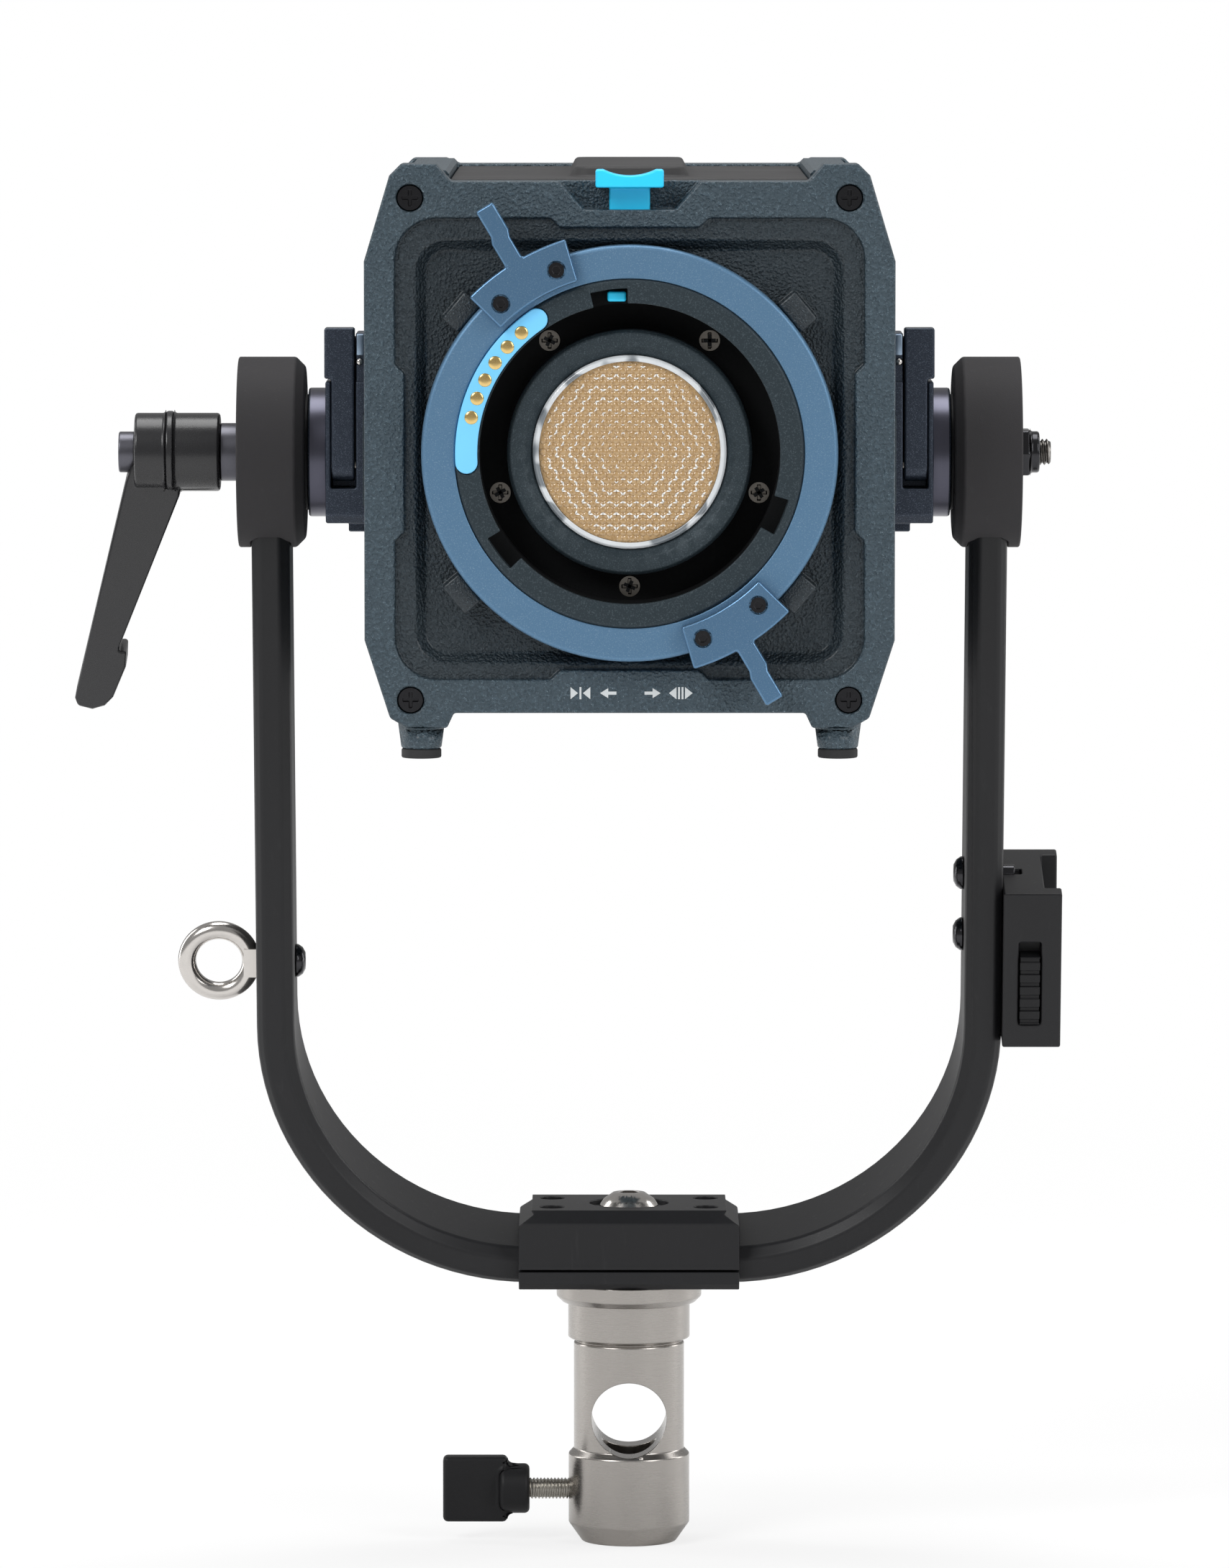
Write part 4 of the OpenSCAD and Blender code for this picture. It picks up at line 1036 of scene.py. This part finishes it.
@dataclass(frozen=True)
class Yoke(Assembly):
    """The leaning bar, its foot block, hubs, eyebolt, battery plate and pivot hardware."""

    parts: tuple[Part, ...] = (
        Part("yoke_bar", ROUND),
        Part("hubs", Edge(0.6, 4)),
        Part("base_block", Edge(0.35, 3), joined=True),
        Part("base_plate", Edge(0.35, 3)),
        Part("base_bolt", SHARP, "polished_steel"),
        Part("base_screws", SHARP, "black_chrome"),
        Part("eyebolt", None, "polished_steel"),
        Part("eyebolt_screw", Edge(0.4, 3), "black_chrome"),
        Part("battery_plate", Edge(0.6, 3)),
        Part("battery_plate_screws", Edge(0.4, 3), "black_chrome"),
        Part("battery_release", Edge(0.3, 3)),
        Part("pivot_nut", Edge(0.8, 4), "black_chrome"),
        Part("friction_washers", SHARP, "satin_black"),
    )
    bolt_radius: float = 4.0
    bolt_head: float = 82.6
    head_radius: float = 6.2
    head_height: float = 3.0
    bolt_shank_end: float = 120.4
    thread_crest: float = 3.85
    thread_depth: float = 0.6
    thread_pitch: float = 1.25
    thread_lap: float = 1.4
    thread_end: float = 123.8

    def add(self, bench: Bench) -> None:
        """Turns the pivot bolt, with its hexagon head and its thread past the nut.

        Args:
            bench: where the pieces are finished.
        """
        shank_start = self.bolt_head + 2
        shape = turned([(0, shank_start), (self.bolt_radius, shank_start),
                        (self.bolt_radius, self.bolt_shank_end), (0, self.bolt_shank_end)], 48)
        head = bmesh.new()
        bmesh.ops.create_cone(
            head, cap_ends=True, segments=6, radius1=self.head_radius, radius2=self.head_radius,
            depth=self.head_height, matrix=Matrix.Translation((0, 0, self.bolt_head + self.head_height / 2)),
        )
        join(shape, head)
        start = self.bolt_shank_end - self.thread_lap
        thread = Thread(self.thread_crest, self.thread_depth, self.thread_pitch, self.thread_end - start).mesh()
        join(shape, thread, Matrix.Translation((0, 0, start)))
        bench.piece(
            "pivot_bolt_piece", shape, "yoke", "black_steel", ("pivot_bolt",), finish="thread_steel",
            place=LAYOUT.yoke_pivot @ ALONG_X,
        )


@dataclass(frozen=True)
class ClampLever(Assembly):
    """The lever that locks the tilt, on its stud."""

    parts: tuple[Part, ...] = (
        Part("clamp_stud", Edge(0.5, 3), "stud_steel"), Part("clamp_handle", Edge(0.9, 4), "lever_black"),
    )


@dataclass(frozen=True)
class Cradle(Assembly):
    """The side brackets with their latch levers, and the rails that slide in them."""

    parts: tuple[Part, ...] = (
        *(Part(f"bracket_{side}", Edge(0.55, 3)) for side, _ in SIDES),
        *(Part(f"latch_{side}", Edge(0.7, 4)) for side, _ in SIDES),
        Part("latch_pins", SHARP), Part("side_rails", CRISP), Part("rail_screws", SHARP),
    )
    plate_out: float = 79.7
    plate_front: float = -25.0
    block_out: float = 86.5
    block_deep: Point = (-16, -9.5)
    block_high: Point = (21, 34.5)
    tab_high: Point = (29.5, 35.6)
    ball_height: float = 27.6
    ball_radius: float = 1.15
    side_out: float = 88.6
    boss_end: float = 94.05
    boss_radius: float = 18.9
    sleeve_wall: float = 1.2

    def add(self, bench: Bench) -> None:
        """Adds the catch and the boss sleeve of each side."""
        for side, mirror in SIDES:
            self.catch(bench, side, mirror)
            self.sleeve(bench, side, mirror)

    def catch(self, bench: Bench, side: str, mirror: Matrix) -> None:
        """Adds the block, tab and ball that hold a closed lever.

        Args:
            bench: where the pieces are finished.
            side: the side's name.
            mirror: turns the right side into this one.
        """
        (near, far), (low, high), (tab_low, tab_top) = self.block_deep, self.block_high, self.tab_high
        block = bevelled_box(Vector((self.plate_out - 1.5, near, low)), Vector((self.block_out, far, high)), 0.6)
        tab = bevelled_box(
            Vector((self.plate_out - 2.4, self.plate_front - 0.9, tab_low)),
            Vector((self.plate_out - 0.2, self.plate_front + 1, tab_top)), 0.3,
        )
        pearl = ball((self.plate_out - 1.1, self.plate_front - 0.1, self.ball_height), self.ball_radius)
        for name, shape, slot, finish in (
            ("catch_block", block, "bracket_metal", "satin_black"),
            ("catch_tab", tab, "steel", "tab_steel"),
            ("catch_ball", pearl, "steel", "polished_steel"),
        ):
            bench.piece(f"{name}_{side}", shape, "cradle", slot, finish=finish, place=LAYOUT.pivot @ mirror)

    def sleeve(self, bench: Bench, side: str, mirror: Matrix) -> None:
        """Adds the polished skin of a pivot boss.

        Args:
            bench: where the pieces are finished.
            side: the side's name.
            mirror: turns the right side into this one.
        """
        inner, outer = self.boss_radius - self.sleeve_wall, self.boss_radius + 0.02
        start, end = self.side_out - 0.3, self.boss_end
        profile = [(inner, start), (outer, start), (outer, end - 0.6), (self.boss_radius - 0.5, end), (inner, end)]
        bench.piece(
            f"boss_sleeve_{side}", turned(profile, 96), "cradle", "bracket_metal", finish="boss_metal",
            place=LAYOUT.pivot @ mirror @ ALONG_X,
        )


@dataclass(frozen=True)
class HeadShell(Assembly):
    """The frames, the housing, its covers, and the four stops round the lock ring."""

    parts: tuple[Part, ...] = (
        Part("front_frame", Edge(0.7, 4), "front_paint"),
        Part("rear_frame", Edge(0.8, 4)),
        Part("housing", None, joined=True),
        Part("top_cover", Edge(0.8, 4), "cover_black"),
        Part("feet", Edge(0.5, 3)),
        Part("frame_screws", SHARP, "black_chrome"),
    )
    stop_turns: tuple[float, ...] = (40, 140, 220, 320)
    stop_low: Spot = (59.8, -74.28, -5.08)
    stop_high: Spot = (66.08, -66.4, 5.08)
    stop_edge: float = 0.7

    def add(self, bench: Bench) -> None:
        """Adds the skins of the four stops.

        Args:
            bench: where the pieces are finished.
        """
        for index, turn in enumerate(self.stop_turns):
            skin = bevelled_box(Vector(self.stop_low), Vector(self.stop_high), self.stop_edge)
            place = Matrix.Rotation(math.radians(-turn), 4, "Y")
            bench.piece(
                f"ring_stop_{index}", skin, "head", "housing_paint", finish="stop_black", place=LAYOUT.lamp @ place,
            )


@dataclass(frozen=True)
class AccessoryMount(Assembly):
    """The bayonet, its lock ring with two levers, the contact strip and the release latch."""

    parts: tuple[Part, ...] = (
        Part("bayonet_ring", Edge(0.3, 3), joined=True),
        Part("lock_ring", Edge(0.5, 3), joined=True),
        Part("lock_levers", Edge(0.7, 4), "lever_blue", joined=True),
        Part("lock_lever_screws", SHARP, "black_chrome"),
        Part("release_latch", Edge(0.7, 4)),
    )
    liner_in: float = 42.98
    liner_out: float = 47.4
    liner_wall: float = 0.1
    liner_floor: float = 0.12
    liner_depth: float = 11.3
    strip_radius: float = 46.8
    strip_width: float = 6.4
    strip_turn: Point = (124.7, 183.0)
    strip_proud: float = 0.7
    strip_depth: float = 3.2
    pin_circle: float = 46.5
    pin_turn: float = 131.7
    pin_step: float = 7.06
    pins: int = 6

    def add(self, bench: Bench) -> None:
        """Adds the groove's dark liner, the contact strip and the contacts.

        Args:
            bench: where the pieces are finished.
        """
        wall = self.liner_in + self.liner_wall
        profile = [
            (self.liner_in, 0), (self.liner_out, 0), (self.liner_out, self.liner_floor), (wall, self.liner_floor),
            (wall, self.liner_depth), (self.liner_in, self.liner_depth),
        ]
        place = LAYOUT.lamp @ Matrix.Translation((0, LAYOUT.face + 0.36, 0)) @ ALONG_Y
        bench.piece(
            "groove_floor", turned(profile, 128), "head", "dark_anodised", finish="flock_black", place=place,
        )
        self.strip(bench)
        self.contacts(bench)

    def strip(self, bench: Bench) -> None:
        """Bends the contact strip, with its round ends.

        Args:
            bench: where the pieces are finished.
        """
        half = self.strip_width / 2
        start, end = (math.radians(angle) for angle in self.strip_turn)
        steps = [start + (end - start) * step / 40 for step in range(41)]
        outline = [polar(self.strip_radius + half, angle) for angle in steps] + self.cap(end, end)
        outline += [polar(self.strip_radius - half, angle) for angle in reversed(steps)]
        outline += self.cap(start, start + math.pi)
        front = LAYOUT.lip_front - self.strip_proud
        shape = slab(outline, front, front + self.strip_depth)
        bench.piece(
            "contact_strip_piece", shape, "head", bench.slot_of["contact_strip"], ("contact_strip",), Edge(0.4, 3),
            place=LAYOUT.lamp,
        )

    def cap(self, angle: float, first: float) -> list[Point]:
        """Rounds one end of the strip's outline.

        Args:
            angle: where the end is on the strip's circle, in radians.
            first: the direction in which the round starts.

        Returns:
            The points of the half circle, without its two ends.
        """
        centre, half = Vector(polar(self.strip_radius, angle)), self.strip_width / 2
        return [tuple(centre + half * Vector(polar(1, first + math.pi * step / 12))) for step in range(1, 12)]

    def contacts(self, bench: Bench) -> None:
        """Turns the six domed contacts.

        Args:
            bench: where the pieces are finished.
        """
        profile = [(0, 0), (0.9, 0.02), (1.5, 0.1), (1.85, 0.26), (2.0, 0.46), (2.1, 0.7), (2.1, 6.8), (0, 6.8)]
        shape = bmesh.new()
        for index in range(self.pins):
            across, up = polar(self.pin_circle, math.radians(self.pin_turn + index * self.pin_step))
            place = Matrix.Translation((across, LAYOUT.lip_front - 1.1, up))
            join(shape, turned(profile, 32), place @ ALONG_Y)
        bench.piece(
            "contact_pins_piece", shape, bench.body_of["contact_pins"], "gold", ("contact_pins",), place=LAYOUT.lamp,
        )


@dataclass(frozen=True)
class Optic(Assembly):
    """The faceted lens in its clear rim, over the emitter."""

    parts: tuple[Part, ...] = (
        Part("optic_cup", CRISP, "flock_black"),
        Part("optic_collar", Edge(0.4, 3)),
        Part("optic_screws", SHARP, "screw_steel"),
        Part("lens_rim", Edge(0.35, 3), "rim_glass"),
        Part("led_emitter", SHARP),
    )
    radius: float = 26.0
    front: float = -67.2
    depth: float = 7.0
    cell: float = 1.92
    dome: float = 0.34
    seat: float = 0.38
    floor: float = -59.2
    screws: int = 5
    screw_circle: float = 39.2
    cross_low: Spot = (-1.75, 0.06, -0.5)
    cross_high: Spot = (1.75, 0.5, 0.5)
    seed: int = 11

    def add(self, bench: Bench) -> None:
        """Adds the lens, its painted glint highlights and the painted shade in the screws' cross recesses.

        Args:
            bench: where the pieces are finished.
        """
        bench.piece(
            "lens_array_piece", self.cells(), "head", "clear", ("lens_array",), finish="amber_lens",
            place=LAYOUT.lamp,
        )
        # Painted highlights: white flecks laid over the lens's cells.
        bench.piece("lens_glints", self.glints(), "head", "clear", finish="glint", place=LAYOUT.lamp)
        # Painted shade: flat black bars in each steel screw head's cross recess.
        cross_shade = bmesh.new()
        for index in range(self.screws):
            across, up = polar(self.screw_circle, math.radians(360 / self.screws * index - 90))
            spot = Matrix.Translation((across, self.floor, up))
            for slot_turn in (25, 115):
                bar = bevelled_box(Vector(self.cross_low), Vector(self.cross_high), 0.05, 1)
                join(cross_shade, bar, spot @ Matrix.Rotation(math.radians(slot_turn + 31 * index), 4, "Y"))
        bench.piece("optic_screw_cross_shade", cross_shade, "head", "black_metal", finish="satin_black", place=LAYOUT.lamp)

    def spots(self, pitch: float) -> list[Point]:
        """Lays out six-sided cells.

        Args:
            pitch: the distance between two cells.

        Returns:
            The middles of those that fit in the lens.
        """
        count = math.ceil(self.radius / pitch) + 2
        rise = pitch * math.sqrt(3) / 2
        spots = [
            (pitch * (column + row / 2), rise * row)
            for row in range(-count, count + 1) for column in range(-2 * count, 2 * count + 1)
        ]
        return [spot for spot in spots if math.hypot(*spot) < self.radius - self.cell * 0.42]

    def cells(self) -> bmesh.types.BMesh:
        """Domes the six-sided cells over the lens's disc.

        Returns:
            The lens's mesh.
        """
        shape = turned([(0, 0), (self.radius, 0), (self.radius, self.depth - 0.4), (0, self.depth - 0.4)], 96)
        bmesh.ops.transform(shape, matrix=Matrix.Translation((0, self.front + 0.4, 0)) @ ALONG_Y, verts=shape.verts)
        corner, level = self.cell / math.sqrt(3), self.front + self.seat
        for x, z in self.spots(self.cell):
            rings = []
            for share, lift in ((1.0, 0.0), (0.86, 0.4), (0.55, 0.78)):
                ring = []
                for step in range(6):
                    across, up = polar(corner * share, math.radians(30 + 60 * step))
                    ring.append(shape.verts.new((x + across, level - self.dome * lift, z + up)))
                rings.append(ring)
            top = shape.verts.new((x, level - self.dome, z))
            for step in range(6):
                after = (step + 1) % 6
                for outer, inner in zip(rings, rings[1:]):
                    shape.faces.new((outer[step], outer[after], inner[after], inner[step]))
                shape.faces.new((rings[-1][step], rings[-1][after], top))
        return shape

    def glints(self) -> bmesh.types.BMesh:
        """Lays flat white three-armed flecks, painted highlights where the cells meet, longer along their rings.

        Returns:
            The glints' mesh.
        """
        chance = random.Random(self.seed)
        shape = bmesh.new()
        pitch = self.cell * 2
        corner = pitch / math.sqrt(3)
        level = self.front + self.seat - self.dome * 0.9
        for x, z in self.spots(pitch):
            for step in (0, 1):
                turn = math.radians(30 + 60 * step)
                across, up = polar(corner, turn)
                spot = Vector((x + across, z + up))
                reach = spot.length / self.radius
                if reach > 0.95 or chance.random() > 0.5 + 0.8 * reach:
                    continue
                ring = self.ring_way(spot)
                # Painted highlight: the flecks grow towards the rim and are stronger in the lower half of the lens.
                power = min(1.0, 0.4 + 0.85 * reach) * chance.uniform(0.75, 1.15) * (1.15 if spot.y < 0 else 0.9)
                for arm in range(3):
                    self.arm(shape, spot, turn + math.radians(120 * arm), ring, corner, power, level)
        for face in shape.faces:
            if face.normal.y > 0:
                face.normal_flip()
        return shape

    @staticmethod
    def arm(
        shape: bmesh.types.BMesh, spot: Vector, way: float, ring: Vector, corner: float, power: float, level: float,
    ) -> None:
        """Adds one curved, tapering arm of a glint.

        Args:
            shape: the glints' mesh.
            spot: where the arms meet.
            way: the arm's direction.
            ring: the direction along the ring of cells.
            corner: the length of a cell's side.
            power: how strong the glint is, up to 1.
            level: the y of the glint.
        """
        along = Vector(polar(1, way))
        share = 0.2 + 0.8 * abs(along.dot(ring)) ** 1.5
        across = Vector((-along.y, along.x))
        length = corner * 0.62 * min(1.0, power) * share
        inward = -spot.normalized() * length * 0.22
        left, right = [], []
        for part in range(5):
            t = part / 4
            middle = spot + along * length * t + inward * math.sin(math.pi * t * 0.5) ** 2
            half = across * 0.36 * power * (0.4 + 0.6 * share) * (1 - t) ** 0.7
            left.append(middle + half)
            right.append(middle - half)
        outline = left + right[-2::-1]
        shape.faces.new([shape.verts.new((place.x, level, place.y)) for place in outline])

    @staticmethod
    def ring_way(spot: Vector) -> Vector:
        """The way along the six-sided ring of cells at a spot."""
        sector = math.floor(math.degrees(math.atan2(spot.y, spot.x)) / 60)
        return Vector(polar(1, math.radians(60 * sector + 120)))


@dataclass(frozen=True)
class Cooling(Assembly):
    """The heat path and the electronics inside the shell."""

    parts: tuple[Part, ...] = (
        Part("cooling_plate", CRISP), Part("heatsink", Edge(0.15, 2)), Part("fan_frame", CRISP, joined=True),
        Part("fan_rotor", CRISP), Part("driver_board", SHARP, joined=True),
    )


@dataclass(frozen=True)
class RearControls(Assembly):
    """The rear panel with its screen, knobs, buttons, rocker and power inlet."""

    parts: tuple[Part, ...] = (
        Part("rear_panel", Edge(0.4, 3)), Part("display_window", SHARP),
        *(Part(f"{name}_button", Edge(0.5, 3)) for name in ("mode", "menu", "back")),
        Part("power_rocker", Edge(0.5, 3)), Part("power_inlet", Edge(0.4, 3)),
        Part("brightness_knob", CRISP), Part("colour_knob", CRISP),
    )
    knob_across: float = 38.0
    knob_height: float = -14.0
    knob_reach: float = 14.0
    mark_half: float = 0.45
    mark_ends: Point = (4.5, 10.5)
    tick_half: float = 0.2
    tick_start: float = 14.2
    tick_ends: Point = (15.4, 16.4)
    tick_long: tuple[int, ...] = (0, 5, 10)
    tick_first: float = -135
    tick_step: float = 27

    def add(self, bench: Bench) -> None:
        """Adds the mark and the scale of each knob.

        Args:
            bench: where the pieces are finished.
        """
        for name, across in (("brightness_knob", self.knob_across), ("colour_knob", -self.knob_across)):
            face = LAYOUT.rear + self.knob_reach
            start, end = (self.knob_height + reach for reach in self.mark_ends)
            low = Vector((across - self.mark_half, face - 0.3, start))
            high = Vector((across + self.mark_half, face + 0.12, end))
            bench.piece(
                f"{name}_mark", bevelled_box(low, high, 0.06, 1), bench.body_of[name], "grey_plastic", finish="ink",
                place=LAYOUT.lamp,
            )
            self.scale(bench, f"{name}_scale", across)

    def scale(self, bench: Bench, name: str, across: float) -> None:
        """Prints the ticks round one knob.

        Args:
            bench: where the pieces are finished.
            name: the piece's name.
            across: the knob's x.
        """
        shape = bmesh.new()
        middle = Matrix.Translation((across, LAYOUT.rear, self.knob_height))
        for step in range(self.tick_long[-1] + 1):
            turn = Matrix.Rotation(math.radians(self.tick_first + self.tick_step * step), 4, "Y")
            low = Vector((-self.tick_half, -0.1, self.tick_start))
            high = Vector((self.tick_half, 0.05, self.tick_ends[step in self.tick_long]))
            join(shape, bevelled_box(low, high, 0.03, 1), middle @ turn)
        bench.piece(name, shape, "head", "black_plastic", finish="ink", place=LAYOUT.lamp)


@dataclass(frozen=True)
class Signs(Assembly):
    """The lock and unlock signs under the mount."""

    height: float = 3.5
    level: float = -69.2
    proud: float = 0.06
    bar: float = 0.55
    gap: float = 0.45

    def add(self, bench: Bench) -> None:
        """Prints the four signs.

        Args:
            bench: where the pieces are finished.
        """
        for name, left, right, parts in (
            ("sign_closed", -17.0, -11.3, ("right", "bar", "left")),
            ("sign_way_left", -8.5, -3.8, ("arrow_left",)),
            ("sign_way_right", 4.3, 8.9, ("arrow_right",)),
            ("sign_open", 11.3, 18.1, ("left", "bar", "bar", "right")),
        ):
            shape = bmesh.new()
            for outline in self.outlines(left, right, parts):
                join(shape, slab(outline, LAYOUT.face - self.proud, LAYOUT.face + 0.1))
            bench.piece(name, shape, "head", "housing_paint", finish="ink", place=LAYOUT.lamp)

    def outlines(self, left: float, right: float, parts: tuple[str, ...]) -> list[list[Point]]:
        """The flat outlines of one sign.

        Args:
            left: its left end.
            right: its right end.
            parts: its marks from left to right.

        Returns:
            The outline of each mark.
        """
        low, high, middle = self.level - self.height / 2, self.level + self.height / 2, self.level
        if parts[0].startswith("arrow"):
            tip, tail = (left, right) if parts[0] == "arrow_left" else (right, left)
            neck = tip + (tail - tip) * 0.5
            thin = self.height * 0.13
            return [
                [(tip, middle), (neck, high - 0.3), (neck, low + 0.3)],
                [(neck, middle + thin), (tail, middle + thin), (tail, middle - thin), (neck, middle - thin)],
            ]
        bars = parts.count("bar")
        wedge = (right - left - bars * self.bar - (bars + 1) * self.gap) / 2
        outlines, at = [], left
        for part in parts:
            width = self.bar if part == "bar" else wedge
            if part == "bar":
                outlines.append([(at, low), (at + width, low), (at + width, high), (at, high)])
            elif part == "left":
                outlines.append([(at, middle), (at + width, high), (at + width, low)])
            else:
                outlines.append([(at + width, middle), (at, high), (at, low)])
            at += width + self.gap
        return outlines


@dataclass(frozen=True)
class Studio:
    """Pale floor, soft light and the camera, in metres and degrees.

    The frame's height and the focal length only count as a ratio.
    """

    surround: float = 0.36
    floor_radius: float = 9.0
    view_distance: float = 3.013
    view_height: float = 0.482
    view_side: float = -0.00435
    view_pitch: float = 4.8
    frame_height: float = 2180
    focal_length: float = 14000

    def build(self) -> None:
        """Sets the floor, world, lamps and camera."""
        self.floor()
        self.world()
        for lamp in (
            ("key", (-1.5, -1.7, 1.9), 1.1, 1.1, 36.0),
            ("fill", (1.7, -1.5, 1.3), 0.9, 1.5, 20.0),
            ("top", (0.0, 0.25, 2.2), 1.2, 1.2, 21.0),
            ("left_rim", (-1.5, 0.7, 0.7), 0.4, 1.5, 8.0),
            ("right_rim", (1.5, 0.7, 0.7), 0.4, 1.5, 8.0),
        ):
            self.lamp(*lamp)
        self.camera()

    def floor(self) -> None:
        """Lays the floor: white to the eye, with the shadow kept."""
        shape = bmesh.new()
        bmesh.ops.create_circle(shape, cap_ends=True, segments=96, radius=self.floor_radius)
        mesh = bpy.data.meshes.new("floor")
        shape.to_mesh(mesh)
        shape.free()
        graph = Graph(bpy.data.materials.new("floor"))
        grain = graph.noise(graph.place(), 6, 2)
        tone = graph.blend(grain, (0.86, 0.86, 0.86), (0.9, 0.9, 0.9))
        matt = graph.node("ShaderNodeBsdfDiffuse", {}, {"Color": tone})
        white = graph.node("ShaderNodeEmission", {}, {"Color": (1, 1, 1, 1), "Strength": 1.0})
        across, along, _ = graph.axes(graph.place())
        away = (across * across + along * along) ** 0.5
        share = 0.74 + away.smooth(0.15, 1.3) * 0.26
        mix = graph.node(
            "ShaderNodeMixShader", {}, {0: self.seen(graph) * share, 1: matt.outputs[0], 2: white.outputs[0]},
        )
        graph.node("ShaderNodeOutputMaterial", {}, {0: mix.outputs[0]})
        mesh.materials.append(graph.owner)
        floor = bpy.data.objects.new("floor", mesh)
        bpy.context.scene.collection.objects.link(floor)

    @staticmethod
    def seen(graph: Graph) -> Value:
        """Tells rays by which the background is seen from those that light the object.

        Args:
            graph: the material's node tree.

        Returns:
            1 for rays straight from the camera or through glass, else 0.
        """
        path = graph.node("ShaderNodeLightPath")
        camera, through = (Value(graph, path.outputs[f"Is {kind} Ray"]) for kind in ("Camera", "Transmission"))
        return (camera + through).smooth(0.0, 1.0)

    def world(self) -> None:
        """Sets an even pale surround."""
        graph = Graph(bpy.data.worlds.new("surround"))
        seen = graph.node("ShaderNodeLightPath").outputs["Is Camera Ray"]
        dim, white = (
            graph.node("ShaderNodeBackground", {}, {"Color": (1, 1, 1, 1), "Strength": strength}).outputs[0]
            for strength in (self.surround, 1.0)
        )
        mix = graph.node("ShaderNodeMixShader", {}, {0: seen, 1: dim, 2: white})
        graph.node("ShaderNodeOutputWorld", {}, {0: mix.outputs[0]})
        bpy.context.scene.world = graph.owner

    @staticmethod
    def lamp(name: str, place: Spot, width: float, height: float, power: float) -> None:
        """Hangs one soft box that faces the middle of the object.

        Args:
            name: its name.
            place: where it hangs.
            width: its width.
            height: its height.
            power: its power in watts.
        """
        light = bpy.data.lights.new(name, "AREA")
        light.shape = "RECTANGLE"
        light.size, light.size_y, light.energy = width, height, power
        box = bpy.data.objects.new(name, light)
        box.location = place
        aim = Vector((0, 0, 0.25)) - box.location
        box.rotation_euler = aim.to_track_quat("-Z", "Y").to_euler()
        bpy.context.scene.collection.objects.link(box)

    def camera(self) -> None:
        """Sets the camera."""
        lens = bpy.data.cameras.new("camera")
        lens.sensor_fit = "VERTICAL"
        lens.angle = 2 * math.atan(self.frame_height / 2 / self.focal_length)
        lens.clip_end = 60
        camera = bpy.data.objects.new("camera", lens)
        camera.location = (self.view_side, -self.view_distance, self.view_height)
        camera.rotation_euler = (math.radians(90 - self.view_pitch), 0, 0)
        bpy.context.scene.collection.objects.link(camera)
        bpy.context.scene.camera = camera


def main() -> None:
    """Builds every sub-assembly around the construction model."""
    logging.basicConfig(level=logging.INFO, format="%(name)s: %(message)s")
    record = frame["record"]
    bodies = record["behaviour"]["bodies"]
    slots = {name: node.material_slots[0].name for name, node in frame["nodes"].items()}
    bench = Bench(frame["nodes"], bodies, slots, Palette())
    assemblies = (
        StandReceiver(), Yoke(), ClampLever(), Cradle(), HeadShell(), AccessoryMount(), Optic(), Cooling(),
        RearControls(), Signs(),
    )
    for assembly in assemblies:
        LOG.info("%s", type(assembly).__name__)
        assembly.build(bench)
    Studio().build()
    LOG.info("%d pieces", bench.count)
    bpy.context.scene.view_settings.view_transform = "Standard"


if __name__ == "__main__":
    main()
